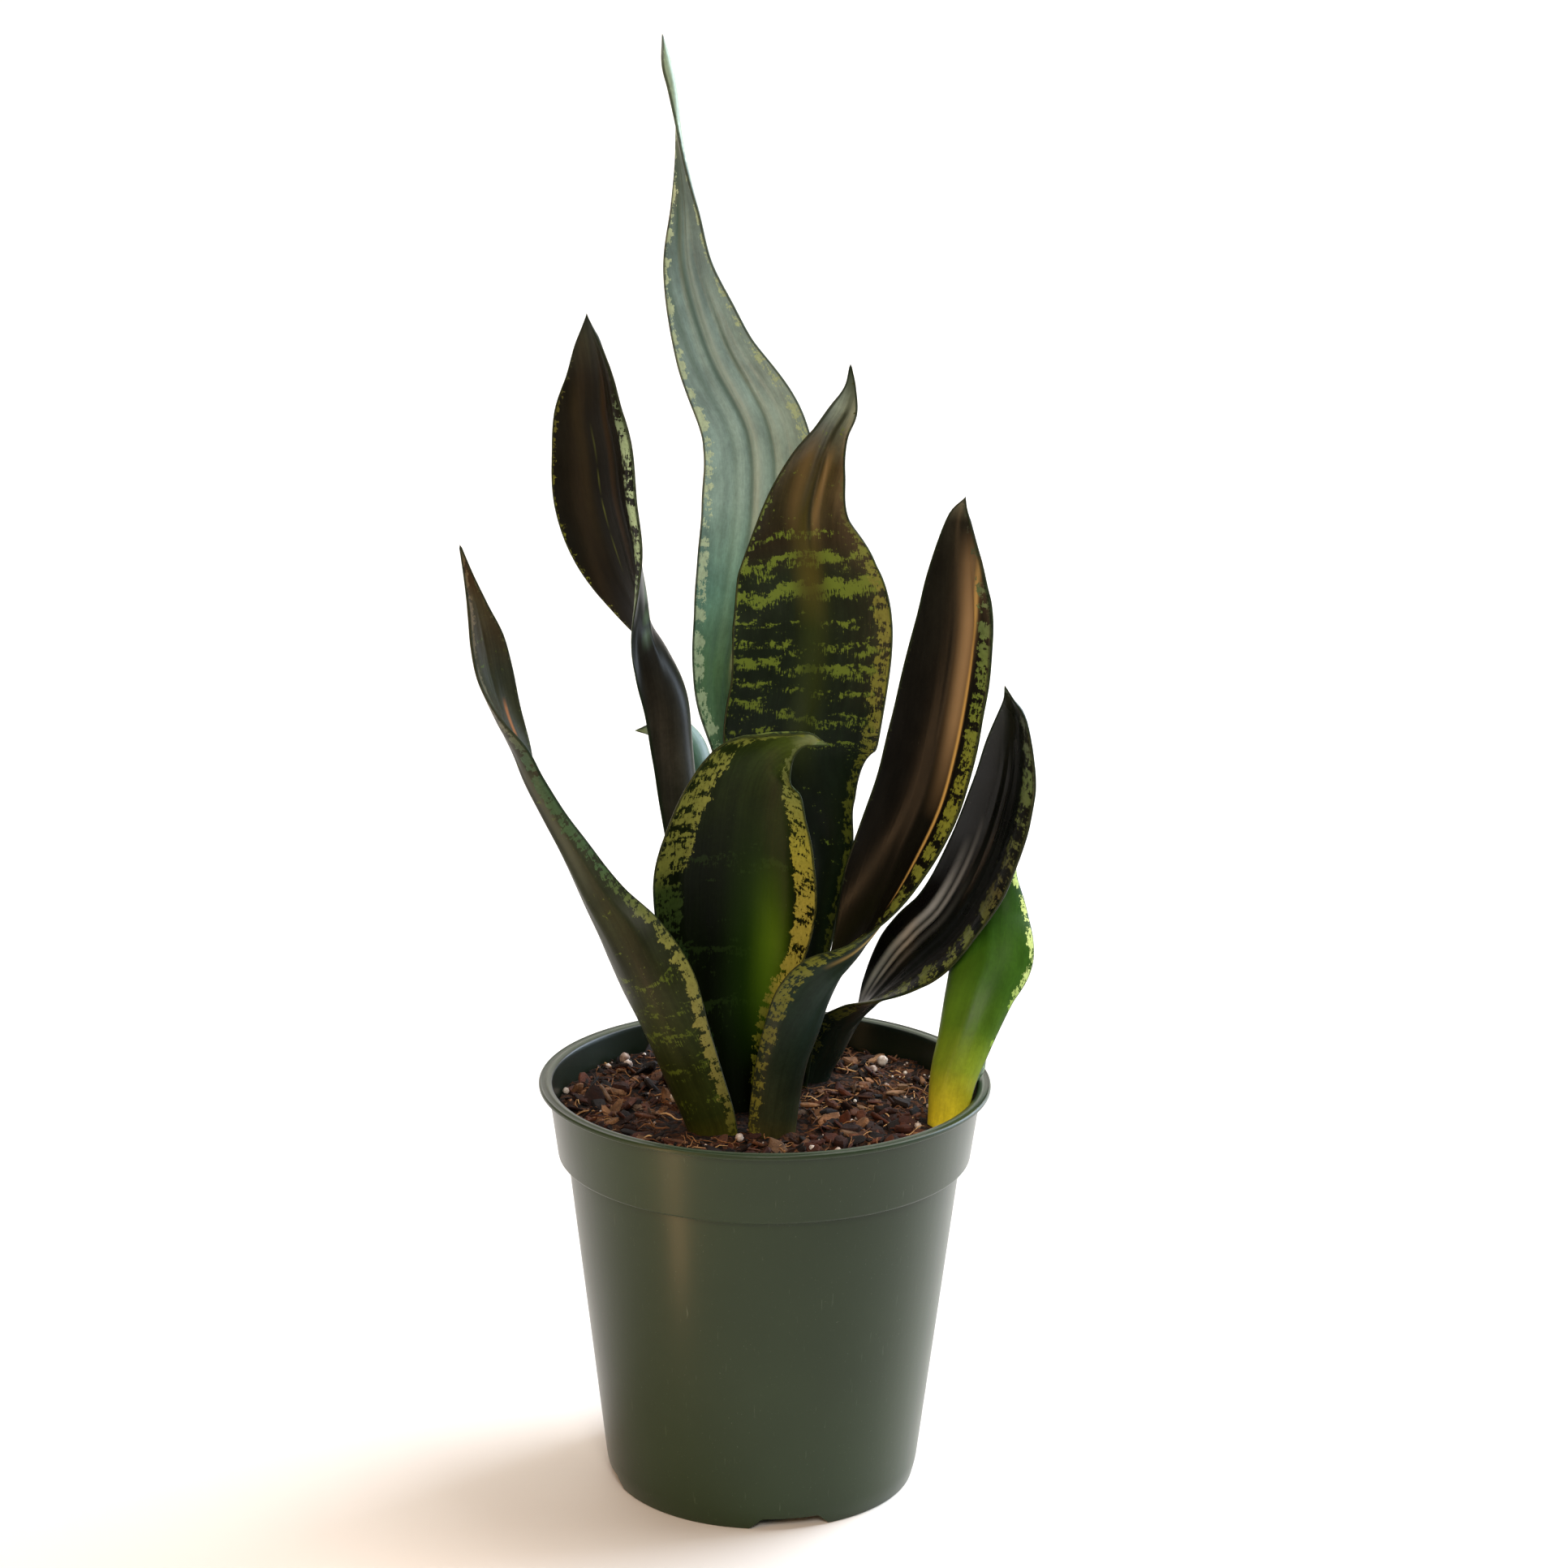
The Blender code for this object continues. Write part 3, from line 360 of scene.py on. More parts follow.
# Noises on a leaf: their cells' size in mm across and along it, a step of its seed, how
# many finer layers they have, and how strong those are. They are the combed edges of the
# markings, the bands' slow sway, fine mottling, streaks, soft clouds, ribs, broken patches
# along the bands, and scuffs.
NOISES = {
    "comb": (0.38, 2.8, 0, 3.0, 0.55), "sway": (11.0, 60.0, 1, 1.0, 0.55),
    "mottle": (1.2, 1.5, 2, 4.0, 0.62), "streak": (1.4, 150.0, 3, 2.0, 0.55),
    "cloud": (8.0, 20.0, 4, 2.0, 0.55), "ribs": (1.2, 120.0, 5, 1.0, 0.55),
    "patch": (7.0, 2.6, 6, 3.0, 0.55), "scuff": (0.45, 2.4, 12, 5.0, 0.70),
}
BLOCK_SEEDS = {"left": 8, "right": 9}
SEED_SHIFT = (3.7, 5.1, 1.9)
BACK_SHIFT = 7.3
BAND_EDGE = 0.8
MARGIN_WIDEST = 20.0
HEM_WIDTH = (0.9, 0.35)
HEM_COLOUR = "#162112"
SCUFF_COLOUR = "#9a9c88"

# Nearly all of a noise's values lie between these two
LOW, HIGH = 0.3, 0.7

# Loose pieces on the mix
BARK_FLAKES = 12
BARK_CRUMBS = 1500
PERLITE_BEADS = 8
PERLITE_CRUMBS = 130
FIBRES = 380
CRUMB_LENGTH = (1.3, 13.3)
GRAIN_RADIUS = (0.3, 1.5)
FIBRE_LENGTH = (4, 17)
FIBRE_RADIUS = (0.13, 0.34)
FIBRE_STEPS = 9
FIBRE_SIDES = (0.0, 1.26, 2.51, 3.77, 5.03)

# Studio, in metres and watts: each softbox has its place, the point it is aimed at, its
# size, its power and its colour
SOFTBOXES = {
    "window_right": ((1.45, 0.75, 0.75), (0.0, 0.0, 0.22), (1.2, 1.3), 50, "#dcecff"),
    "sky_above": ((0.95, 0.35, 1.9), (0.1, 0.0, 0.0), (1.6, 1.5), 42, "#ffffff"),
    "wall_behind": ((0.0, 1.3, 2.2), (0.0, 1.6, 0.6), (3.0, 1.0), 26, "#fffdf8"),
    "warm_left": ((-1.05, -1.10, 0.62), (0.0, 0.0, 0.25), (0.12, 1.15), 8.5, "#ffcb94"),
    "fill_front": ((0.15, -2.3, 1.7), (0.0, 0.0, 0.22), (0.8, 0.6), 34, "#fff6ea"),
    "warm_glint": ((-0.22, -0.23, 0.13), (0.0, 0.0, 0.41), (0.02, 0.35), 0.30, "#ffc78a"),
}
ROOM_COLOUR = "#f6f4f2"
ROOM_STRENGTH = 0.12
CAMERA_PLACE = (0.0057, -1.244, 0.5773)
CAMERA_PITCH = 14.5
CAMERA_ROLL = 0.57
LENS = 85.0
SENSOR = 36.0


# ---- Helpers ------------------------------------------------------------------------

def linear(colour):
    """A hex colour as the linear RGBA that the shaders take."""
    parts = [int(colour[i:i + 2], 16) / 255 for i in (1, 3, 5)]
    return (*[c / 12.92 if c <= 0.04045 else ((c + 0.055) / 1.055) ** 2.4 for c in parts], 1.0)


def add(tree, kind, settings=None, inputs=None):
    """Add one shader node, with its settings, and a value or a link for each input named."""
    node = tree.nodes.new("ShaderNode" + kind)
    for key, value in (settings or {}).items():
        if key == "stops":
            ramp = node.color_ramp
            while len(ramp.elements) < len(value):
                ramp.elements.new(0.5)
            for element, (place, colour) in zip(ramp.elements, value):
                element.position = place
                element.color = colour if isinstance(colour, tuple) else linear(colour)
        else:
            setattr(node, key, value)
    for key, value in (inputs or {}).items():
        if isinstance(value, bpy.types.NodeSocket):
            tree.links.new(value, node.inputs[key])
        else:
            node.inputs[key].default_value = value
    return node.outputs


def new_material(name, **sockets):
    """A material with a Principled shader, and those of its sockets that stay the same all over."""
    material = bpy.data.materials.new(name)
    material.use_nodes = True
    shader = material.node_tree.nodes["Principled BSDF"]
    for key, value in sockets.items():
        shader.inputs[key.replace("_", " ").title().replace("Ior", "IOR")].default_value = value
    return material, material.node_tree, shader


def grey(value):
    """A strength as a colour, for a ramp's stop."""
    return (value, value, value, 1.0)


def object_from(mesh, name, material, replaces=(), body="root"):
    """A finished piece in the scene: its material, its body and the nodes it stands for."""
    piece = bpy.data.objects.new(name, mesh)
    bpy.context.scene.collection.objects.link(piece)
    mesh.materials.append(material)
    if body:
        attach(piece, body)
        if replaces:
            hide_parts(*replaces)
    return piece


def mesh_from(name, points, faces, sharp=None):
    """A smooth mesh from points in mm from the pot's middle; edges over sharp degrees stay crisp."""
    mesh = bpy.data.meshes.new(name)
    placed = np.array(points, float) * MM + np.array(AXIS)
    mesh.from_pydata(placed.tolist(), [], faces)
    mesh.update()
    mesh.shade_smooth()
    if sharp is not None:
        mesh.set_sharp_from_angle(angle=math.radians(sharp))
    return mesh


# ---- Leaves: shape ------------------------------------------------------------------

def leaf_rows(name):
    """A leaf's stations in pot coordinates, root first, drawn out into close smooth rows,
    and how far along the leaf each row is from the surface of the mix."""
    (base_x, base_y), depth, stations = LEAVES[name]
    keys = np.array(stations, float) + (base_x, base_y, MIX_LEVEL, 0, 0, 0)
    root = keys[0].copy()
    root[:2] *= 1 - ROOT_LEAN * depth / np.hypot(*root[:2])
    root[2] -= depth
    root[3] *= ROOT_SHARE
    keys = np.vstack([root, keys])
    gaps = np.linalg.norm(np.diff(keys[:, :3], axis=0), axis=1)
    steps = [np.linspace(i, i + 1, max(3, round(gap / ROW_SPACING)), endpoint=False)
             for i, gap in enumerate(gaps)]
    at = np.append(np.concatenate(steps), len(keys) - 1.0)
    low = np.minimum(at.astype(int), len(keys) - 2)
    share = (at - low)[:, None]
    held = np.vstack([2 * keys[0] - keys[1], keys, 2 * keys[-1] - keys[-2]])
    a, b, c, d = held[low], held[low + 1], held[low + 2], held[low + 3]
    rows = b + 0.5 * share * (c - a + share * (2 * a - 5 * b + 4 * c - d + share * (3 * (b - c) + d - a)))
    run = np.append(0, np.cumsum(np.linalg.norm(np.diff(rows[:, :3], axis=0), axis=1)))
    return rows, run - np.interp(1.0, at, run)


def leaf_axes(rows):
    """Along, across to the right margin, and out of the hollow face, at each row."""
    along = np.gradient(rows[:, :3], axis=0)
    along /= np.linalg.norm(along, axis=1)[:, None]
    way = np.radians(rows[:, 4])
    facing = np.stack([np.sin(way), -np.cos(way), np.zeros_like(way)], 1)
    facing -= (facing * along).sum(1)[:, None] * along
    facing /= np.linalg.norm(facing, axis=1)[:, None]
    return along, np.cross(along, facing), facing


def section_relief(name, share, run):
    """How far each point of the hollow face is pushed back from a plain arc."""
    relief = RELIEF[name]
    pushed = np.zeros((len(run), len(share)))
    # Each relief fades in and out along the leaf, over the lengths that these lines give
    for place, half, depth, start, end in relief["creases"]:
        fade = np.clip((run - start) / 20, 0, 1) * np.clip((end - run) / 20, 0, 1)
        pushed += depth * np.outer(fade, np.exp(-((share - place) / half) ** 2))
    if "reflex" in relief:
        side, start, depth = relief["reflex"]
        turned = np.clip((share * side - start) / (1 - start), 0, 1) ** 2
        fade = np.clip((run - 30) / 40, 0, 1) * np.clip((run[-1] - run - 4) / 30, 0, 1)
        pushed += depth * np.outer(fade, turned)
    sway = np.array([[noise.noise((r / 17, 5.0 * side, len(name))) for side in (-1, 1)] for r in run])
    grip = np.clip((run - 10) / 40, 0, 1) * np.clip((run[-1] - run) / 40, 0, 1)
    for side, column in ((-1, 0), (1, 1)):
        reach = np.clip(share * side, 0, 1) ** 3
        pushed += relief["wave"] * np.outer(sway[:, column] * grip, reach)
    return pushed


def make_leaf(name):
    """One whole leaf: a folded blade with round margins, creases and a pointed tip."""
    rows, run = leaf_rows(name)
    along, across, facing = leaf_axes(rows)
    spread = np.linspace(-1, 1, HALF_COLUMNS)
    share = 0.35 * spread + 0.65 * np.sin(spread * math.pi / 2)
    width = np.maximum(rows[:, 3], 0.9)
    fold = np.radians(np.clip(rows[:, 5], 6, 100))
    radius = width / 2 / np.sin(fold)
    half_arc = radius * fold
    angle = np.outer(fold, share)[..., None]
    out = across[:, None] * np.sin(angle) - facing[:, None] * np.cos(angle)
    centre = rows[:, :3] + facing * (radius * np.cos(fold))[:, None]
    pushed = section_relief(name, share, run) * np.minimum(1, half_arc / 9)[:, None]
    slim = np.minimum(1, width / FULL_THICKNESS_WIDTH)[:, None]
    thick = slim * (EDGE_THICKNESS + (MID_THICKNESS - EDGE_THICKNESS) * (1 - share ** 2)[None])
    inset = (1 - np.abs(share))[None] * half_arc[:, None] / np.minimum(EDGE_ROUND, half_arc / 3)[:, None]
    rounding = np.sqrt(np.clip(1 - (1 - np.clip(inset, 0, 1)) ** 2, 0, 1))
    front = radius[:, None] + pushed + thick * (1 - rounding) / 2
    back = front + thick * rounding
    inner = centre[:, None] + out * front[..., None]
    outer = centre[:, None] + out * back[..., None]
    ring = np.concatenate([inner, outer[:, -2:0:-1]], axis=1)
    count = ring.shape[1]
    tip = rows[-1, :3] + along[-1] * 1.2
    points = np.vstack([ring.reshape(-1, 3), tip])
    faces = [tuple(range(count))[::-1]]
    for i in range(len(rows) - 1):
        for j in range(count):
            k = (j + 1) % count
            faces.append((i * count + j, i * count + k, (i + 1) * count + k, (i + 1) * count + j))
    last = (len(rows) - 1) * count
    faces += [(last + j, last + (j + 1) % count, len(points) - 1) for j in range(count)]
    mesh = mesh_from(name, points, faces)
    map_leaf(mesh, run, half_arc, share)
    leaf = object_from(mesh, name + "_blade", leaf_skin(name, run[-1]), (name,))
    fix_normals(leaf)


def map_leaf(mesh, run, half_arc, share):
    """Give each point of a leaf its place in mm: across, along and which face, and its
    distances from the left and the right margin."""
    column_share = np.concatenate([share, share[-2:0:-1]])
    side = np.concatenate([np.zeros(HALF_COLUMNS), np.ones(HALF_COLUMNS - 2)])
    side[[0, HALF_COLUMNS - 1]] = 0.5
    across = np.outer(half_arc, column_share)
    along = np.repeat(run[:, None], len(side), 1)
    blade = np.stack([across, along, np.repeat(side[None], len(run), 0)], -1)
    from_left = np.outer(half_arc, 1 + column_share)
    from_right = np.outer(half_arc, 1 - column_share)
    margins = np.stack([from_left, from_right, np.zeros_like(across)], -1)
    for key, values in (("blade", blade), ("margins", margins)):
        values = values.reshape(-1, 3)
        values = np.vstack([values, values[-1]])
        mesh.attributes.new(key, "FLOAT_VECTOR", "POINT").data.foreach_set("vector", values.ravel())


def fix_normals(piece):
    """Make a closed piece's faces point out."""
    bm = bmesh.new()
    bm.from_mesh(piece.data)
    bmesh.ops.recalc_face_normals(bm, faces=bm.faces)
    bm.to_mesh(piece.data)
    bm.free()


# ---- Leaves: skin -------------------------------------------------------------------

def drawn_out(tree, blade, seed, grain, run, step, detail, rough):
    """Noise in cells so many mm across the leaf and so many along it, from 0 to 1."""
    shift = tuple((seed + step) * amount for amount in SEED_SHIFT)
    at = add(tree, "VectorMath", {"operation": "MULTIPLY_ADD"},
             {0: blade, 1: (1 / grain, 1 / run, BACK_SHIFT), 2: shift})
    return add(tree, "TexNoise", None,
               {"Vector": at[0], "Scale": 1.0, "Detail": detail, "Roughness": rough})[0]


def shaken(tree, value, *noises):
    """A value moved up and down by each noise, by so much from end to end."""
    for source, amount in noises:
        move = add(tree, "Math", {"operation": "MULTIPLY_ADD"}, {0: source, 1: amount, 2: -amount / 2})[0]
        value = add(tree, "Math", {"operation": "ADD"}, {0: value, 1: move})[0]
    return value


def places_on(tree, seed, length):
    """Where a point is on its leaf, in mm, and the noises there."""
    blade = add(tree, "Attribute", {"attribute_name": "blade"})["Vector"]
    margins = add(tree, "Attribute", {"attribute_name": "margins"})["Vector"]
    on = {"blade": blade}
    on["across"], on["along"], on["outer"] = add(tree, "SeparateXYZ", None, {0: blade})[:3]
    on["left"], on["right"] = add(tree, "SeparateXYZ", None, {0: margins})[:2]
    on["share"] = add(tree, "Math", {"operation": "DIVIDE"}, {0: on["along"], 1: length})[0]
    for key, cells in NOISES.items():
        on[key] = drawn_out(tree, blade, seed, *cells)
    return on


def flesh(tree, skin, on, length):
    """The ground colour of each face, which clouds and fine streaks lighten and darken."""
    faces = []
    for key in ("blade", "back"):
        stops = [(mm / length, colour) for mm, colour in skin[key]]
        faces.append(add(tree, "ValToRGB", {"stops": stops}, {0: on["share"]})[0])
    colour = add(tree, "MixRGB", None, {0: on["outer"], 1: faces[0], 2: faces[1]})[0]
    for key, amount in (("cloud", 0.24), ("streak", skin["grain"]), ("comb", 0.10), ("mottle", 0.10)):
        shade = add(tree, "MapRange", None,
                    {0: on[key], 1: LOW, 2: HIGH, 3: 1 - amount, 4: 1 + amount})[0]
        colour = add(tree, "MixRGB", {"blend_type": "MULTIPLY"}, {0: 1.0, 1: colour, 2: shade})[0]
    return colour


def banded(tree, skin, on, length, colour):
    """Pale bands across the leaf, with ragged edges combed out along it."""
    place = shaken(tree, on["along"], (on["comb"], 9.0), (on["sway"], 7.0))
    place = add(tree, "Math", {"operation": "DIVIDE"}, {0: place, 1: length})[0]
    stops = []
    for mm, half, strength in skin["bands"]:
        start, end = mm - half - BAND_EDGE, mm + half + BAND_EDGE
        stops += [(start / length, grey(0)), (mm / length, grey(strength)), (end / length, grey(0))]
    level = add(tree, "ValToRGB", {"stops": stops}, {0: place})[0]
    level = shaken(tree, level, (on["patch"], 1.9), (on["mottle"], 1.5), (on["comb"], 0.8))
    mask = add(tree, "MapRange", {"interpolation_type": "SMOOTHSTEP"}, {0: level, 1: 0.38, 2: 0.56})[0]
    return add(tree, "MixRGB", None, {0: mask, 1: colour, 2: linear(skin["band_colour"])})[0]


def striped(tree, stripe, on, length, colour):
    """A soft stripe along the leaf: a marking, or a painted highlight, sheen, glow or crease shade."""
    place, half, shade, strengths, only_back = stripe
    off = add(tree, "Math", {"operation": "SUBTRACT"}, {0: on["across"], 1: place})[0]
    off = add(tree, "Math", {"operation": "ABSOLUTE"}, {0: off})[0]
    off = shaken(tree, off, (on["streak"], 0.5), (on["comb"], 0.3))
    line = add(tree, "MapRange", {"interpolation_type": "SMOOTHSTEP"},
               {0: off, 1: half * 1.9 + 0.1, 2: 0.0})[0]
    stops = [(mm / length, grey(strength)) for mm, strength in strengths]
    level = add(tree, "ValToRGB", {"stops": stops}, {0: on["share"]})[0]
    mask = add(tree, "Math", {"operation": "MULTIPLY"}, {0: line, 1: level})[0]
    if only_back:
        mask = add(tree, "Math", {"operation": "MULTIPLY"}, {0: mask, 1: on["outer"]})[0]
    return add(tree, "MixRGB", None, {0: mask, 1: colour, 2: linear(shade)})[0]


def margined(tree, skin, side, on, length, colour):
    """A pale margin, cut into blocks by dark bars and eaten into by flecks, with a dark hem."""
    widths, colours, dark, bar = skin[side]
    stops = [(mm / length, grey(wide / MARGIN_WIDEST)) for mm, wide in widths]
    width = add(tree, "ValToRGB", {"stops": stops}, {0: on["share"]})[0]
    width = add(tree, "Math", {"operation": "MULTIPLY"}, {0: width, 1: MARGIN_WIDEST})[0]
    depth = add(tree, "Math", {"operation": "SUBTRACT"}, {0: width, 1: on[side]})[0]
    level = add(tree, "MapRange", None, {0: depth, 1: -2.4, 2: 1.6, 3: -0.7, 4: 1.0})[0]
    blocks = drawn_out(tree, on["blade"], skin["seed"], bar * 2.4, bar * 0.7, BLOCK_SEEDS[side], 4.0, 0.6)
    level = shaken(tree, level, (blocks, 3.2), (on["mottle"], 2.2), (on["comb"], 1.3))
    edge = 0.42 + 1.15 * dark
    kept = add(tree, "MapRange", {"interpolation_type": "SMOOTHSTEP"},
               {0: level, 1: edge - 0.07, 2: edge + 0.09})[0]
    if skin.get("plain_back"):
        inner = add(tree, "Math", {"operation": "SUBTRACT"}, {0: 1.0, 1: on["outer"]})[0]
        kept = add(tree, "Math", {"operation": "MULTIPLY"}, {0: kept, 1: inner})[0]
    stops = [(mm / length, shade) for mm, shade in colours]
    pale = add(tree, "ValToRGB", {"stops": stops}, {0: on["share"]})[0]
    tint = add(tree, "MapRange", None, {0: on["mottle"], 1: LOW, 2: HIGH, 3: 0.78, 4: 1.18})[0]
    pale = add(tree, "MixRGB", {"blend_type": "MULTIPLY"}, {0: 1.0, 1: pale, 2: tint})[0]
    colour = add(tree, "MixRGB", None, {0: kept, 1: colour, 2: pale})[0]
    hem = add(tree, "MapRange", {"interpolation_type": "SMOOTHSTEP"},
              {0: on[side], 1: HEM_WIDTH[0], 2: HEM_WIDTH[1]})[0]
    hem = add(tree, "Math", {"operation": "MULTIPLY"}, {0: hem, 1: 0.8})[0]
    return add(tree, "MixRGB", None, {0: hem, 1: colour, 2: linear(HEM_COLOUR)})[0]


def leaf_skin(name, length):
    """Living leaf: chlorophyll-dark flesh with paler bands and margins, seen through a
    waxy cuticle, which gives it a soft satin shine drawn out along the leaf. Some of its
    stripes are painted highlights, sheen, glow and shade in creases."""
    skin = SKINS[name]
    material, tree, shader = new_material(name.replace("_", " ") + ", waxed cuticle",
                                          ior=1.45, specular_ior_level=skin["gloss"])
    on = places_on(tree, skin["seed"], length)
    colour = flesh(tree, skin, on, length)
    if "bands" in skin:
        colour = banded(tree, skin, on, length, colour)
    for stripe in skin["stripes"]:
        colour = striped(tree, stripe, on, length, colour)
    for side in ("left", "right"):
        colour = margined(tree, skin, side, on, length, colour)

    # Handling leaves fine pale scuffs and a few specks of dust
    scuff = add(tree, "MapRange", {"interpolation_type": "SMOOTHSTEP"},
                {0: on["scuff"], 1: 0.69, 2: 0.78})[0]
    worn = add(tree, "Math", {"operation": "MULTIPLY"}, {0: scuff, 1: skin["wear"]})[0]
    colour = add(tree, "MixRGB", None, {0: worn, 1: colour, 2: linear(SCUFF_COLOUR)})[0]
    tree.links.new(colour, shader.inputs["Base Color"])

    shine = skin["roughness"]
    rough = add(tree, "MapRange", None,
                {0: on["cloud"], 1: LOW, 2: HIGH, 3: shine - 0.04, 4: shine + 0.05})[0]
    rough = add(tree, "Math", {"operation": "MULTIPLY_ADD"}, {0: scuff, 1: 0.25, 2: rough})[0]
    tree.links.new(rough, shader.inputs["Roughness"])
    height = add(tree, "Math", {"operation": "MULTIPLY_ADD"},
                 {0: on["mottle"], 1: 0.16, 2: on["ribs"]})[0]
    bump = add(tree, "Bump", None, {"Strength": 0.4, "Distance": 0.12 * MM, "Height": height})[0]
    tree.links.new(bump, shader.inputs["Normal"])
    return material


# ---- Pot ----------------------------------------------------------------------------

def rounded(outline, steps=4):
    """A closed (x, y) outline with each corner turned on its own radius."""
    made = []
    for i, (x, y, radius) in enumerate(outline):
        here = Vector((x, y))
        before = Vector(outline[i - 1][:2]) - here
        after = Vector(outline[(i + 1) % len(outline)][:2]) - here
        reach = min(radius, before.length * 0.45, after.length * 0.45)
        start = here + before.normalized() * reach
        end = here + after.normalized() * reach
        for step in range(steps + 1):
            t = step / steps
            made.append(tuple(start * (1 - t) ** 2 + here * 2 * t * (1 - t) + end * t ** 2))
    return made


def inner_radius(z):
    """Inside radius of the pot's wall at a height."""
    if z > BAND_FOOT_Z:
        return BAND_FOOT_RADIUS - WALL + BAND_TAPER * (z - BAND_FOOT_Z) / BAND_HEIGHT
    share = (z - FOOT_CHAMFER[1]) / (BAND_FOOT_Z - FOOT_CHAMFER[1])
    return BODY_FOOT_RADIUS + (BODY_TOP_RADIUS - BODY_FOOT_RADIUS) * share - WALL


def loft(rings, closed=False):
    """Points and faces of a skin over rings of points; an open row is capped."""
    count = len(rings[0])
    points = [point for ring in rings for point in ring]
    faces = []
    for i in range(len(rings) if closed else len(rings) - 1):
        low, high = i * count, (i + 1) % len(rings) * count
        for j in range(count):
            k = (j + 1) % count
            faces.append((low + j, low + k, high + k, high + j))
    if not closed:
        faces.append(tuple(range(count))[::-1])
        faces.append(tuple(range(len(points) - count, len(points))))
    return points, faces


def cutter(name, rings):
    """A hidden solid that is cut out of the pot."""
    mesh = mesh_from(name, *loft(rings))
    tool = bpy.data.objects.new(name, mesh)
    bpy.context.scene.collection.objects.link(tool)
    fix_normals(tool)
    return tool


def pot_cutters():
    """Notches through the foot ring and slots through the floor."""
    slope = (NOTCH_BOTTOM_WIDTH - NOTCH_TOP_WIDTH) / 2 / NOTCH_HEIGHT
    low_half = NOTCH_BOTTOM_WIDTH / 2 + slope * CUT_PAST
    notch = rounded(((-low_half, -CUT_PAST, 0.2), (low_half, -CUT_PAST, 0.2),
                     (NOTCH_TOP_WIDTH / 2, NOTCH_HEIGHT, 0.8), (-NOTCH_TOP_WIDTH / 2, NOTCH_HEIGHT, 0.8)))
    deep, wide = DRAIN_SLOT
    reach = FOOT_RADIUS - DRAIN_SLOT_INSET - deep
    slot = rounded(((-wide / 2, reach, 2), (wide / 2, reach, 2), (wide / 2, reach + deep, 2),
                    (-wide / 2, reach + deep, 2)))
    tools = []
    for i in range(NOTCH_COUNT):
        turn = math.radians(NOTCH_TURN + 360 * i / NOTCH_COUNT)
        aside = Vector((math.cos(turn), math.sin(turn), 0))
        ahead = Vector((math.sin(turn), -math.cos(turn), 0))
        rings = [[ahead * far + aside * x + Vector((0, 0, z)) for x, z in notch]
                 for far in (FOOT_RADIUS - 3 * FOOT_RING_WIDTH, BODY_TOP_RADIUS)]
        tools.append(cutter(f"notch_tool_{i}", rings))
        rings = [[ahead * y + aside * x + Vector((0, 0, z)) for x, y in slot]
                 for z in (FLOOR_LIFT - CUT_PAST, FLOOR_TOP + CUT_PAST)]
        tools.append(cutter(f"slot_tool_{i}", rings))
    return tools


def make_pot():
    """Thin moulded pot: dished lip, band, step, tapered body, foot ring and drained floor."""
    # Each corner of the turned outline has its radius from the axis, its height and its rounding
    lip_foot = POT_HEIGHT - LIP_THICKNESS
    lip_inner = LIP_RADIUS - LIP_WIDTH
    ring_inner = FOOT_RADIUS - FOOT_RING_WIDTH
    shoulder = BAND_FOOT_Z + WALL
    outline = rounded((
        (inner_radius(lip_foot) + 0.2, POT_HEIGHT - 0.5, 0.5), (lip_inner + 0.3, POT_HEIGHT, 0.4),
        (lip_inner + 1.0, POT_HEIGHT - LIP_DISH, 0.4), (LIP_RADIUS - 1.0, POT_HEIGHT - LIP_DISH, 0.4),
        (LIP_RADIUS - 0.5, POT_HEIGHT, 0.3), (LIP_RADIUS, POT_HEIGHT - 0.5, 0.4),
        (LIP_RADIUS, lip_foot, 0.6),
        (BAND_TOP_RADIUS, lip_foot, 0.9), (BAND_FOOT_RADIUS, BAND_FOOT_Z, 0.9),
        (BODY_TOP_RADIUS, BAND_FOOT_Z, 1.2), (BODY_TOP_RADIUS - 0.25, BAND_FOOT_Z - 3.2, 1.0),
        (BODY_FOOT_RADIUS, FOOT_CHAMFER[1], 2.4), (FOOT_RADIUS, 0.0, 0.8), (ring_inner, 0.0, 0.5),
        (ring_inner, FLOOR_LIFT, 0.6), (DRAIN_HOLE_RADIUS, FLOOR_LIFT, 0.3),
        (DRAIN_HOLE_RADIUS, FLOOR_TOP, 0.3), (inner_radius(FLOOR_TOP), FLOOR_TOP, 1.5),
        (inner_radius(BAND_FOOT_Z), BAND_FOOT_Z, 0.4), (inner_radius(BAND_FOOT_Z), shoulder, 0.4),
        (inner_radius(shoulder), shoulder, 0.5), (inner_radius(lip_foot) - 0.1, lip_foot, 0.4)))
    rings = []
    for i in range(POT_SIDES):
        turn = 2 * math.pi * i / POT_SIDES
        rings.append([(r * math.cos(turn), r * math.sin(turn), z) for r, z in outline])
    pot = object_from(mesh_from("moulded_pot", *loft(rings, closed=True)), "moulded_pot",
                      pot_plastic(), ("nursery_pot",))
    fix_normals(pot)
    tools = pot_cutters()
    for tool in tools:
        cut = pot.modifiers.new(tool.name, "BOOLEAN")
        cut.operation = "DIFFERENCE"
        cut.solver = "EXACT"
        cut.object = tool
    whole = bpy.data.meshes.new_from_object(pot.evaluated_get(bpy.context.evaluated_depsgraph_get()))
    pot.modifiers.clear()
    pot.data = whole
    whole.shade_smooth()
    whole.set_sharp_from_angle(angle=math.radians(38))
    for tool in tools:
        bpy.data.objects.remove(tool)


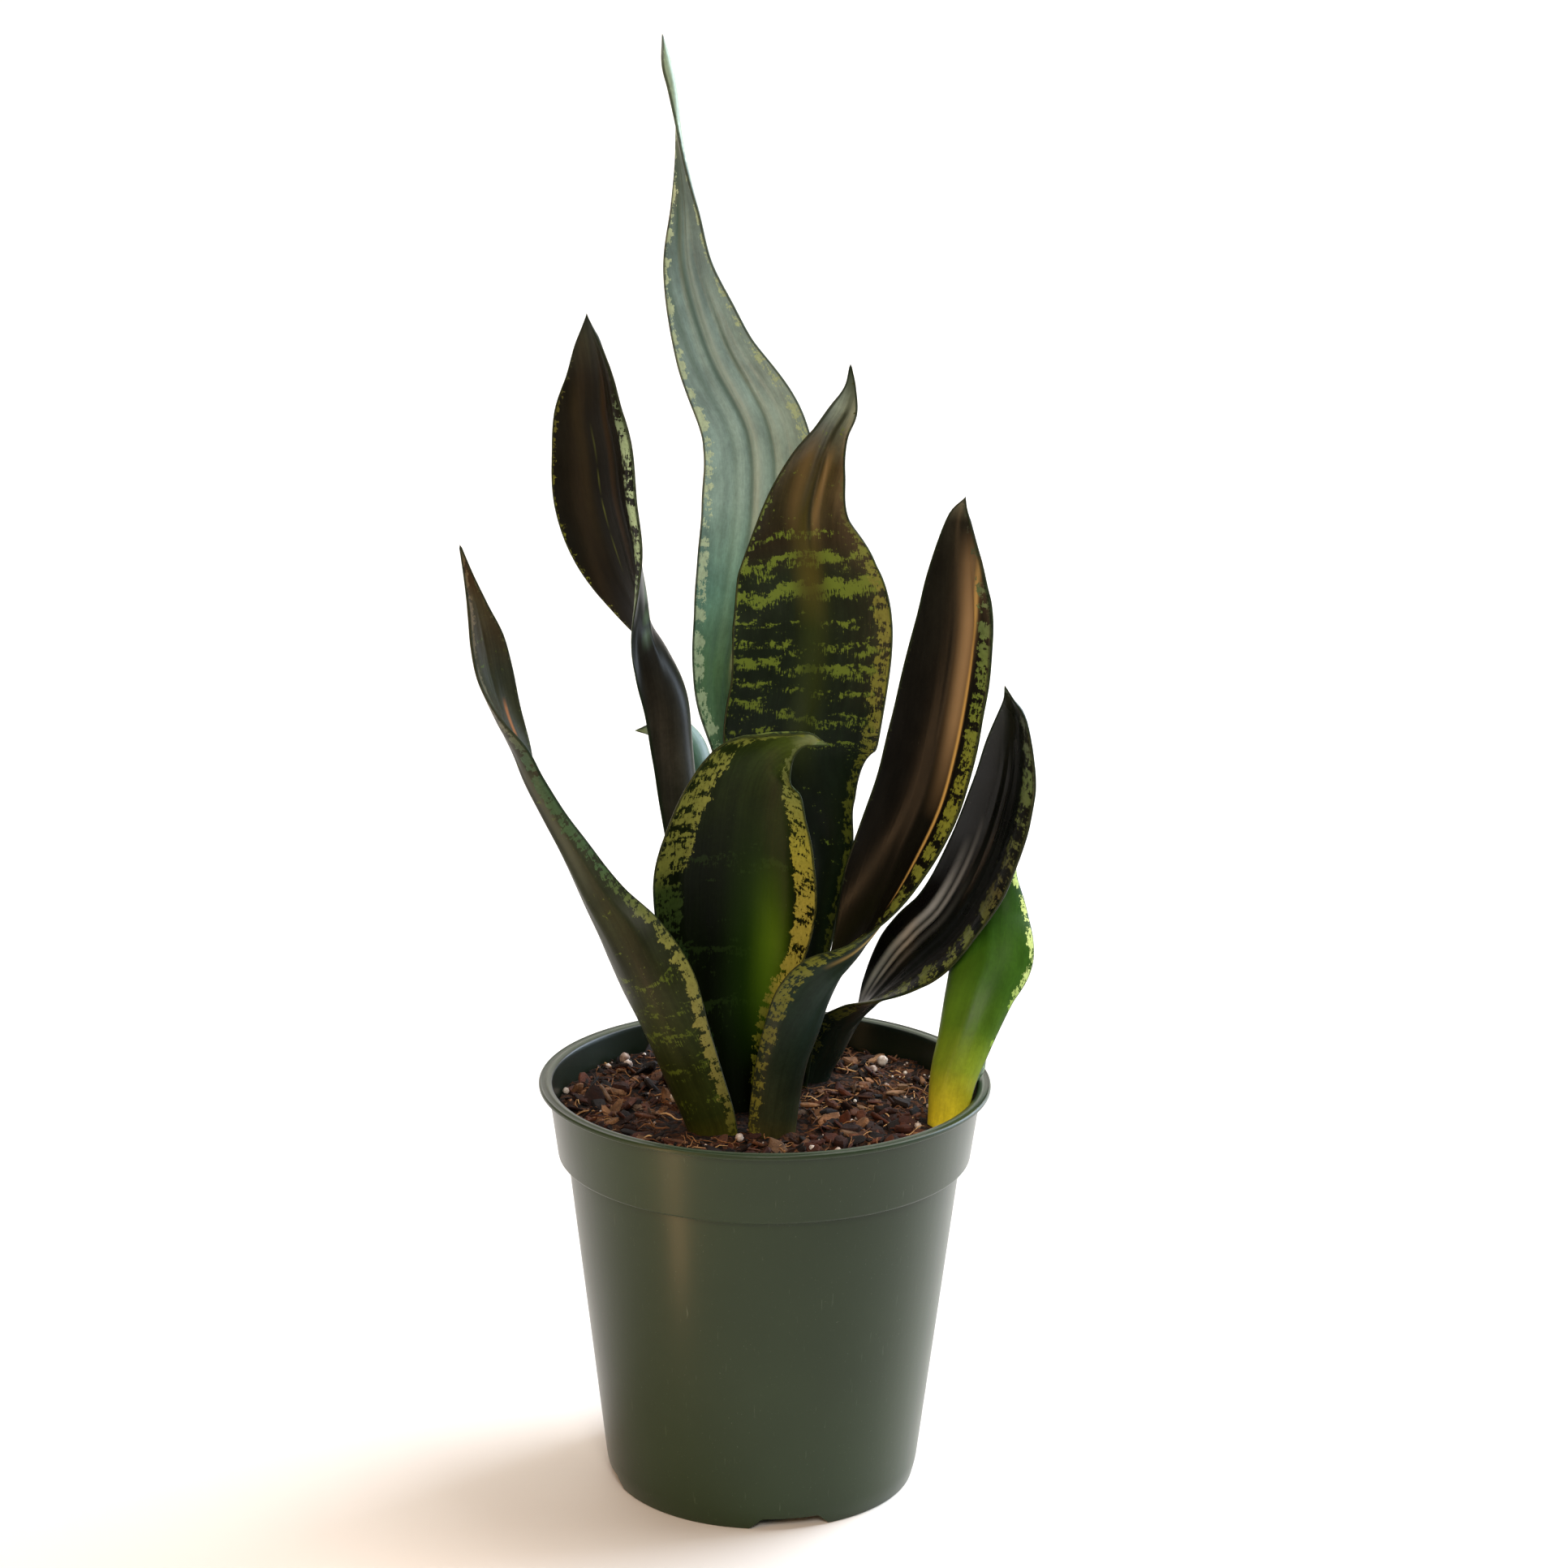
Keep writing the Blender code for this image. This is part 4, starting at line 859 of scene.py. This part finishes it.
def pot_plastic():
    """Injection-moulded polypropylene, dyed bottle green: an even satin skin with faint
    drag lines from the mould, dust, fine scratches, a painted highlight along the top of the
    lip and painted shade on the inside of the wall."""
    material, tree, shader = new_material("polypropylene, moulded, bottle green",
                                          ior=1.49, specular_ior_level=0.26)
    at = add(tree, "TexCoord")["Object"]
    cloud = add(tree, "TexNoise", None, {"Vector": at, "Scale": 14.0, "Detail": 3.0})[0]
    greens = ((0.3, "#202d19"), (0.5, "#23301c"), (0.7, "#26341f"))
    shade = add(tree, "ValToRGB", {"stops": greens}, {0: cloud})[0]
    # Dust specks are under a millimetre; scratches run up the wall, a millimetre wide and thirty long
    speck = add(tree, "TexNoise", None, {"Vector": at, "Scale": 1400.0, "Detail": 2.0})[0]
    stretched = add(tree, "VectorMath", {"operation": "MULTIPLY"}, {0: at, 1: (900.0, 900.0, 30.0)})[0]
    scratch = add(tree, "TexNoise", None, {"Vector": stretched, "Scale": 1.0, "Detail": 2.0})[0]
    height_up = add(tree, "SeparateXYZ", None, {0: at})[2]
    # Painted highlight: below, the top of the lip is paled with the dust's grey, as if it caught the
    # light
    lip = add(tree, "MapRange", None,
              {0: height_up, 1: (POT_HEIGHT - 0.35) * MM, 2: (POT_HEIGHT - 0.05) * MM})[0]
    for source, start, end, amount in ((speck, 0.70, 0.80, 0.22), (scratch, 0.70, 0.80, 0.14),
                                       (lip, 0.0, 1.0, 0.20)):
        mask = add(tree, "MapRange", None, {0: source, 1: start, 2: end, 4: amount})[0]
        shade = add(tree, "MixRGB", None, {0: mask, 1: shade, 2: linear("#7f8674")})[0]
    # Painted shade: the wall's inside, where the skin faces the pot's middle, is darkened as if in shadow
    outward = add(tree, "VectorMath", {"operation": "MULTIPLY"}, {0: at, 1: (1.0, 1.0, 0.0)})[0]
    skin_way = add(tree, "NewGeometry")["Normal"]
    facing_out = add(tree, "VectorMath", {"operation": "DOT_PRODUCT"}, {0: skin_way, 1: outward})["Value"]
    inner_painted_shade = add(tree, "MapRange", None, {0: facing_out, 1: -0.02, 2: -0.04, 4: 0.75})[0]
    shade = add(tree, "MixRGB", None, {0: inner_painted_shade, 1: shade, 2: linear("#0b0f09")})[0]
    tree.links.new(shade, shader.inputs["Base Color"])
    rough = add(tree, "MapRange", None, {0: cloud, 1: LOW, 2: HIGH, 3: 0.29, 4: 0.35})[0]
    rubbed = add(tree, "MapRange", None, {0: scratch, 1: 0.70, 2: 0.80, 4: 0.15})[0]
    rough = add(tree, "Math", {"operation": "ADD"}, {0: rough, 1: rubbed})[0]
    tree.links.new(rough, shader.inputs["Roughness"])
    # The mould's drag lines go round the wall, about four millimetres apart
    peel = add(tree, "TexNoise", None, {"Vector": at, "Scale": 700.0, "Detail": 2.0})[0]
    rings_at = add(tree, "VectorMath", {"operation": "MULTIPLY"}, {0: at, 1: (8.0, 8.0, 260.0)})[0]
    drag = add(tree, "TexNoise", None, {"Vector": rings_at, "Scale": 1.0, "Detail": 1.0})[0]
    height = add(tree, "Math", {"operation": "MULTIPLY_ADD"}, {0: drag, 1: 0.5, 2: peel})[0]
    bump = add(tree, "Bump", None, {"Strength": 0.25, "Distance": 0.05 * MM, "Height": height})[0]
    tree.links.new(bump, shader.inputs["Normal"])
    return material


# ---- Potting mix --------------------------------------------------------------------

def mix_height(x, y):
    """Height of the mix's surface, with its swell and its crumbs."""
    long_x = x / MIX_LONG_WAVE[0] + MIX_LONG_START[0]
    long_y = y / MIX_LONG_WAVE[1] + MIX_LONG_START[1]
    short = x / MIX_SHORT_WAVE[0] - y / MIX_SHORT_WAVE[1]
    swell = MIX_SWELL * math.sin(long_x) * math.cos(long_y) + MIX_SHORT_SWELL * math.sin(short)
    lumps = noise.fractal((x / MIX_LUMP, y / MIX_LUMP, 2.0), 0.8, 2.1, 4)
    return MIX_LEVEL + swell + MIX_LUMP_RISE * lumps


def make_mix():
    """Damp bark and peat mix, filling the pot: a crumbly top on a plug."""
    low, step = FLOOR_TOP + MIX_FIT, BAND_FOOT_Z + WALL + MIX_FIT
    turns = [2 * math.pi * i / MIX_SIDES for i in range(MIX_SIDES)]
    circle = [(math.cos(turn), math.sin(turn)) for turn in turns]
    rings = []
    for radius, z in ((inner_radius(low) - MIX_FIT, low), (inner_radius(BAND_FOOT_Z) - MIX_FIT, step),
                      (inner_radius(step) - MIX_FIT, step)):
        rings.append([(x * radius, y * radius, z) for x, y in circle])
    for i in range(MIX_RINGS):
        radius = MIX_EDGE * (1 - i / MIX_RINGS)
        rings.append([(x * radius, y * radius, mix_height(x * radius, y * radius)) for x, y in circle])
    mix = object_from(mesh_from("mix_plug", *loft(rings)), "mix_plug", peat(), ("potting_mix",))
    fix_normals(mix)


def leaf_feet():
    """Round spaces at the mix that the leaves take: a centre and a radius at some lengths of each."""
    feet = []
    for name in LEAVES:
        rows, run = leaf_rows(name)
        for at in (0.0, 5.0, 10.0, 15.0, 22.0):
            i = int(np.argmin(np.abs(run - at)))
            feet.append((rows[i, 0], rows[i, 1], rows[i, 3] * 0.5 + MID_THICKNESS * 0.6 + at * 0.02))
    return feet


def chip_shape(draw, length, width, thick):
    """A torn flake: an uneven outline in four layers, with a split, fibrous rim."""
    sides = 9
    outline = []
    for i in range(sides):
        turn = 2 * math.pi * i / sides
        reach = draw.uniform(0.62, 1.0)
        outline.append((math.cos(turn) * length / 2 * reach, math.sin(turn) * width / 2 * reach))
    rings = []
    bow = draw.uniform(-0.5, 0.5) * thick
    for share, height in ((0.78, -0.5), (0.98, -0.22), (1.0, 0.18), (0.84, 0.46), (0.45, 0.56)):
        ring = []
        for x, y in outline:
            lift = bow * (2 * x / length) ** 2 + draw.uniform(-0.07, 0.07) * thick
            edge = share * draw.uniform(0.93, 1.05)
            ring.append(Vector((x * edge, y * edge, height * thick + lift)))
        rings.append(ring)
    return rings


def add_solid(points, faces, tones, rings, tone):
    """Join one small solid to a growing mesh, remembering its tone."""
    made, made_faces = loft(rings)
    start = len(points)
    points += made
    faces += [tuple(start + i for i in face) for face in made_faces]
    tones += [tone] * len(made)


def litter_mesh(name, solids, sharp):
    """One mesh of many small solids, each with its own tone."""
    points, faces, tones = [], [], []
    for rings, tone in solids:
        add_solid(points, faces, tones, rings, tone)
    mesh = mesh_from(name, points, faces, sharp)
    mesh.attributes.new("tone", "FLOAT", "POINT").data.foreach_set("value", tones)
    return mesh


def spot(draw, feet, reach):
    """A place on the mix, clear of the leaves and the wall."""
    while True:
        radius = (MIX_EDGE - reach * 0.7) * math.sqrt(draw.random())
        turn = draw.uniform(0, 2 * math.pi)
        x, y = radius * math.cos(turn), radius * math.sin(turn)
        if all(math.hypot(x - a, y - b) > c + reach * 0.6 for a, b, c in feet):
            return x, y


def laid(rings, x, y, z, turn, tilt_x, tilt_y):
    """Rings of points, tilted, turned and put in place."""
    move = Matrix.Translation((x, y, z)) @ Euler((tilt_x, tilt_y, turn)).to_matrix().to_4x4()
    return [[tuple(move @ point) for point in ring] for ring in rings]


def make_bark(feet):
    """Composted bark, from flakes a finger's width long down to crumbs."""
    draw = random.Random(7)
    skin = bark()
    for i in range(1, BARK_FLAKES + 1):
        low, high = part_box(f"bark_chip_{i}")
        middle = (low + high) / 2
        x, y = (middle.x - AXIS.x) / MM, (middle.y - AXIS.y) / MM
        long_side = max(high.x - low.x, high.y - low.y) / MM
        short_side = min(high.x - low.x, high.y - low.y) / MM
        turn = 0.0 if high.x - low.x > high.y - low.y else math.pi / 2
        thick = (high.z - low.z) / MM
        rings = chip_shape(draw, long_side, short_side * 0.85, thick)
        rings = laid(rings, x, y, middle.z / MM - 0.5, turn + draw.uniform(-0.3, 0.3),
                     draw.uniform(-0.16, 0.16), draw.uniform(-0.16, 0.16))
        mesh = litter_mesh(f"bark_flake_{i}", [(rings, draw.random())], 28)
        fix_normals(object_from(mesh, f"bark_flake_{i}", skin, (f"bark_chip_{i}",)))
    solids = []
    for _ in range(BARK_CRUMBS):
        long_side = CRUMB_LENGTH[0] + (CRUMB_LENGTH[1] - CRUMB_LENGTH[0]) * draw.random() ** 2.8
        wide_side = long_side * draw.uniform(0.16, 0.72)
        rings = chip_shape(draw, long_side, wide_side, 0.35 + wide_side * draw.uniform(0.08, 0.26))
        x, y = spot(draw, feet, long_side / 2)
        rings = laid(rings, x, y, mix_height(x, y) + draw.uniform(-0.4, 1.3), draw.uniform(0, 6.3),
                     draw.gauss(0, 0.45), draw.gauss(0, 0.45))
        solids.append((rings, draw.random()))
    mesh = litter_mesh("bark_crumbs", solids, 24)
    fix_normals(object_from(mesh, "bark_crumbs", skin, ()))


def grain_rings(draw, radius):
    """A puffed, knobbly grain as a stack of uneven rings."""
    seed = draw.uniform(0, 50)
    rings = []
    for i in range(1, 8):
        lean = math.pi * i / 8
        ring = []
        for j in range(10):
            turn = 2 * math.pi * j / 10
            out = math.sin(lean)
            way = Vector((out * math.cos(turn), out * math.sin(turn), math.cos(lean)))
            ring.append(way * radius * (1 + 0.35 * noise.noise(way * 1.9 + Vector((seed, 0, 0)))))
        rings.append(ring)
    return rings


def make_perlite(feet):
    """Expanded perlite: white grains scattered over the mix."""
    draw = random.Random(19)
    skin = perlite()
    for i in range(1, PERLITE_BEADS + 1):
        low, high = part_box(f"perlite_grain_{i}")
        middle = (low + high) / 2
        rings = laid(grain_rings(draw, (high.z - low.z) / 2 / MM), (middle.x - AXIS.x) / MM,
                     (middle.y - AXIS.y) / MM, middle.z / MM - 0.5, draw.uniform(0, 6.3), 0, 0)
        mesh = litter_mesh(f"perlite_bead_{i}", [(rings, draw.random())], 180)
        fix_normals(object_from(mesh, f"perlite_bead_{i}", skin, (f"perlite_grain_{i}",)))
    solids = []
    for _ in range(PERLITE_CRUMBS):
        radius = GRAIN_RADIUS[0] + (GRAIN_RADIUS[1] - GRAIN_RADIUS[0]) * draw.random() ** 2.4
        x, y = spot(draw, feet, radius)
        rings = grain_rings(draw, radius)
        lift = radius * draw.uniform(0.1, 0.8) + 0.3
        rings = laid(rings, x, y, mix_height(x, y) + lift, draw.uniform(0, 6.3), draw.uniform(-1, 1), 0)
        solids.append((rings, draw.random()))
    mesh = litter_mesh("perlite_crumbs", solids, 180)
    fix_normals(object_from(mesh, "perlite_crumbs", skin, ()))


def make_fibres(feet):
    """Coir fibres and slivers of wood, bent and tangled in the mix."""
    draw = random.Random(23)
    solids = []
    for _ in range(FIBRES):
        long_side = draw.uniform(*FIBRE_LENGTH)
        x, y = spot(draw, feet, 2.0)
        turn = draw.uniform(0, 6.3)
        bend = draw.uniform(-0.9, 0.9)
        radius = draw.uniform(*FIBRE_RADIUS)
        lift = draw.uniform(0.4, 1.6)
        rings = []
        for i in range(FIBRE_STEPS + 1):
            along = (i / FIBRE_STEPS - 0.5) * long_side
            way = turn + bend * (i / FIBRE_STEPS - 0.5)
            px, py = x + along * math.cos(way), y + along * math.sin(way)
            if math.hypot(px, py) > MIX_EDGE - 0.8:
                shrink = (MIX_EDGE - 0.8) / math.hypot(px, py)
                px, py = px * shrink, py * shrink
            middle = Vector((px, py, mix_height(px, py) + lift + 0.5 * math.sin(i * 0.9 + x)))
            aside = Vector((-math.sin(way), math.cos(way), 0))
            thin = radius * (1 - 0.7 * abs(2 * i / FIBRE_STEPS - 1) ** 3)
            rings.append([tuple(middle + aside * thin * math.cos(a) + Vector((0, 0, thin * math.sin(a))))
                          for a in FIBRE_SIDES])
        solids.append((rings, draw.random()))
    mesh = litter_mesh("mix_fibres", solids, 180)
    fix_normals(object_from(mesh, "mix_fibres", fibre(), ()))


def peat():
    """Damp peat and fine bark: nearly black hollows between reddish-brown crumbs."""
    material, tree, shader = new_material("peat and fine bark, damp",
                                          roughness=0.92, specular_ior_level=0.2)
    at = add(tree, "TexCoord")["Object"]
    crumbs = add(tree, "TexVoronoi", None, {"Vector": at, "Scale": 520.0})
    grain = add(tree, "TexNoise", None, {"Vector": at, "Scale": 900.0, "Detail": 4.0})[0]
    tone = add(tree, "SeparateXYZ", None, {0: crumbs["Color"]})[0]
    tone = add(tree, "Math", {"operation": "MULTIPLY_ADD"}, {0: grain, 1: 0.5, 2: tone})[0]
    browns = ((0.2, "#080503"), (0.55, "#150c07"), (0.85, "#28160b"), (1.0, "#452711"))
    shade = add(tree, "ValToRGB", {"stops": browns}, {0: tone})[0]
    tree.links.new(shade, shader.inputs["Base Color"])
    height = add(tree, "Math", {"operation": "SUBTRACT"}, {0: grain, 1: crumbs["Distance"]})[0]
    bump = add(tree, "Bump", None, {"Strength": 1.0, "Distance": 0.8 * MM, "Height": height})[0]
    tree.links.new(bump, shader.inputs["Normal"])
    return material


def bark():
    """Composted pine bark: flakes from rust red to grey brown, matt, with a fine grain."""
    material, tree, shader = new_material("pine bark, composted", roughness=0.82, specular_ior_level=0.3)
    tone = add(tree, "Attribute", {"attribute_name": "tone"})["Fac"]
    at = add(tree, "TexCoord")["Object"]
    # Growth layers are about a third of a millimetre apart
    grain = add(tree, "TexNoise", None, {"Vector": at, "Scale": 1500.0, "Detail": 3.0})[0]
    patch = add(tree, "TexNoise", None, {"Vector": at, "Scale": 260.0, "Detail": 3.0})[0]
    browns = ((0.0, "#0c0603"), (0.2, "#1b0d07"), (0.42, "#35170c"), (0.6, "#4a2310"),
              (0.78, "#58351e"), (0.92, "#86603f"), (1.0, "#46392e"))
    shade = add(tree, "ValToRGB", {"stops": browns}, {0: tone})[0]
    for source, dark, light in ((patch, 0.45, 1.45), (grain, 0.7, 1.25)):
        level = add(tree, "MapRange", None, {0: source, 1: LOW, 2: HIGH, 3: dark, 4: light})[0]
        shade = add(tree, "MixRGB", {"blend_type": "MULTIPLY"}, {0: 1.0, 1: shade, 2: level})[0]
    tree.links.new(shade, shader.inputs["Base Color"])
    bump = add(tree, "Bump", None, {"Strength": 0.8, "Distance": 0.3 * MM, "Height": grain})[0]
    tree.links.new(bump, shader.inputs["Normal"])
    return material


def fibre():
    """Coir and split wood: pale tan to dark brown threads, dry and matt."""
    material, tree, shader = new_material("coir fibre, dry", roughness=0.78, specular_ior_level=0.3)
    tone = add(tree, "Attribute", {"attribute_name": "tone"})["Fac"]
    tans = ((0.0, "#2a170b"), (0.4, "#5d361b"), (0.75, "#95663a"), (1.0, "#c79c68"))
    shade = add(tree, "ValToRGB", {"stops": tans}, {0: tone})[0]
    at = add(tree, "TexCoord")["Object"]
    grain = add(tree, "TexNoise", None, {"Vector": at, "Scale": 1200.0, "Detail": 2.0})[0]
    level = add(tree, "MapRange", None, {0: grain, 1: LOW, 2: HIGH, 3: 0.7, 4: 1.25})[0]
    shade = add(tree, "MixRGB", {"blend_type": "MULTIPLY"}, {0: 1.0, 1: shade, 2: level})[0]
    tree.links.new(shade, shader.inputs["Base Color"])
    bump = add(tree, "Bump", None, {"Strength": 0.4, "Distance": 0.1 * MM, "Height": grain})[0]
    tree.links.new(bump, shader.inputs["Normal"])
    return material


def perlite():
    """Expanded perlite: chalky white glass foam, stained by the mix it lies in."""
    material, tree, shader = new_material("perlite, expanded", roughness=0.9)
    tone = add(tree, "Attribute", {"attribute_name": "tone"})["Fac"]
    at = add(tree, "TexCoord")["Object"]
    pores = add(tree, "TexVoronoi", None, {"Vector": at, "Scale": 2600.0})["Distance"]
    stain = add(tree, "TexNoise", None, {"Vector": at, "Scale": 500.0, "Detail": 3.0})[0]
    stain = add(tree, "Math", {"operation": "MULTIPLY_ADD"}, {0: tone, 1: 0.35, 2: stain})[0]
    whites = ((0.35, "#e6dfd6"), (0.65, "#b9a79a"), (0.9, "#7d6558"))
    shade = add(tree, "ValToRGB", {"stops": whites}, {0: stain})[0]
    tree.links.new(shade, shader.inputs["Base Color"])
    bump = add(tree, "Bump", None, {"Strength": 0.7, "Distance": 0.15 * MM, "Height": pores})[0]
    tree.links.new(bump, shader.inputs["Normal"])
    return material


# ---- Studio -------------------------------------------------------------------------

def make_floor():
    """A plain pale sweep: flat under the plant, turning up well behind it."""
    front, turn_start, turn_radius, top, half = -0.5, 1.1, 1.0, 3.2, 4.5
    outline = [(front, 0.0), (turn_start, 0.0)]
    outline += [(turn_start + turn_radius * math.sin(a), turn_radius * (1 - math.cos(a)))
                for a in [math.radians(5 * i) for i in range(1, 19)]]
    outline.append((turn_start + turn_radius, top))
    points = [(x, y, z) for y, z in outline for x in (-half, half)]
    faces = [(2 * i, 2 * i + 1, 2 * i + 3, 2 * i + 2) for i in range(len(outline) - 1)]
    mesh = bpy.data.meshes.new("studio_sweep")
    mesh.from_pydata(points, [], faces)
    mesh.shade_smooth()
    material, tree, shader = new_material("board, painted matt white", roughness=0.7)
    at = add(tree, "TexCoord")["Object"]
    cloud = add(tree, "TexNoise", None, {"Vector": at, "Scale": 1.5, "Detail": 2.0})[0]
    whites = ((0.3, "#eae4de"), (0.7, "#eee9e4"))
    shade = add(tree, "ValToRGB", {"stops": whites}, {0: cloud})[0]
    tree.links.new(shade, shader.inputs["Base Color"])
    object_from(mesh, "studio_sweep", material, body=None)


def soft_light(name, place, target, size, power, colour):
    """One rectangular softbox, aimed at a point."""
    data = bpy.data.lights.new(name, "AREA")
    data.shape = "RECTANGLE"
    data.size, data.size_y = size
    data.energy = power
    data.color = linear(colour)[:3]
    lamp = bpy.data.objects.new(name, data)
    bpy.context.scene.collection.objects.link(lamp)
    lamp.location = place
    lamp.rotation_euler = (Vector(target) - Vector(place)).to_track_quat("-Z", "Y").to_euler()
    return lamp


def make_light():
    """Bright, soft daylight from the right and behind, and a warm strip from the left."""
    lamps = {name: soft_light(name, *box) for name, box in SOFTBOXES.items()}
    # The glint's strip stands close to the pot, so the camera must not see it.
    lamps["warm_glint"].visible_camera = False
    world = bpy.data.worlds.new("studio")
    world.use_nodes = True
    backdrop = world.node_tree.nodes["Background"]
    backdrop.inputs["Color"].default_value = linear(ROOM_COLOUR)
    backdrop.inputs["Strength"].default_value = ROOM_STRENGTH
    bpy.context.scene.world = world


def make_camera():
    """A short telephoto lens, a little above the plant and looking down on it."""
    pitch, roll = math.radians(CAMERA_PITCH), math.radians(CAMERA_ROLL)
    data = bpy.data.cameras.new("camera")
    data.lens = LENS
    data.sensor_width = SENSOR
    data.clip_start, data.clip_end = 0.05, 30.0
    camera = bpy.data.objects.new("camera", data)
    bpy.context.scene.collection.objects.link(camera)
    camera.location = AXIS + Vector(CAMERA_PLACE)
    ahead = Vector((0, math.cos(pitch), -math.sin(pitch)))
    up = Vector((0, math.sin(pitch), math.cos(pitch)))
    right = Vector((1, 0, 0))
    aside = right * math.cos(roll) + up * math.sin(roll)
    above = up * math.cos(roll) - right * math.sin(roll)
    camera.rotation_mode = "QUATERNION"
    camera.rotation_quaternion = Matrix((aside, above, -ahead)).transposed().to_quaternion()
    bpy.context.scene.camera = camera


make_camera()
make_light()
make_floor()
make_pot()
make_mix()
feet = leaf_feet()
make_bark(feet)
make_perlite(feet)
make_fibres(feet)
for leaf_name in LEAVES:
    make_leaf(leaf_name)

bpy.context.scene.view_settings.view_transform = "Standard"
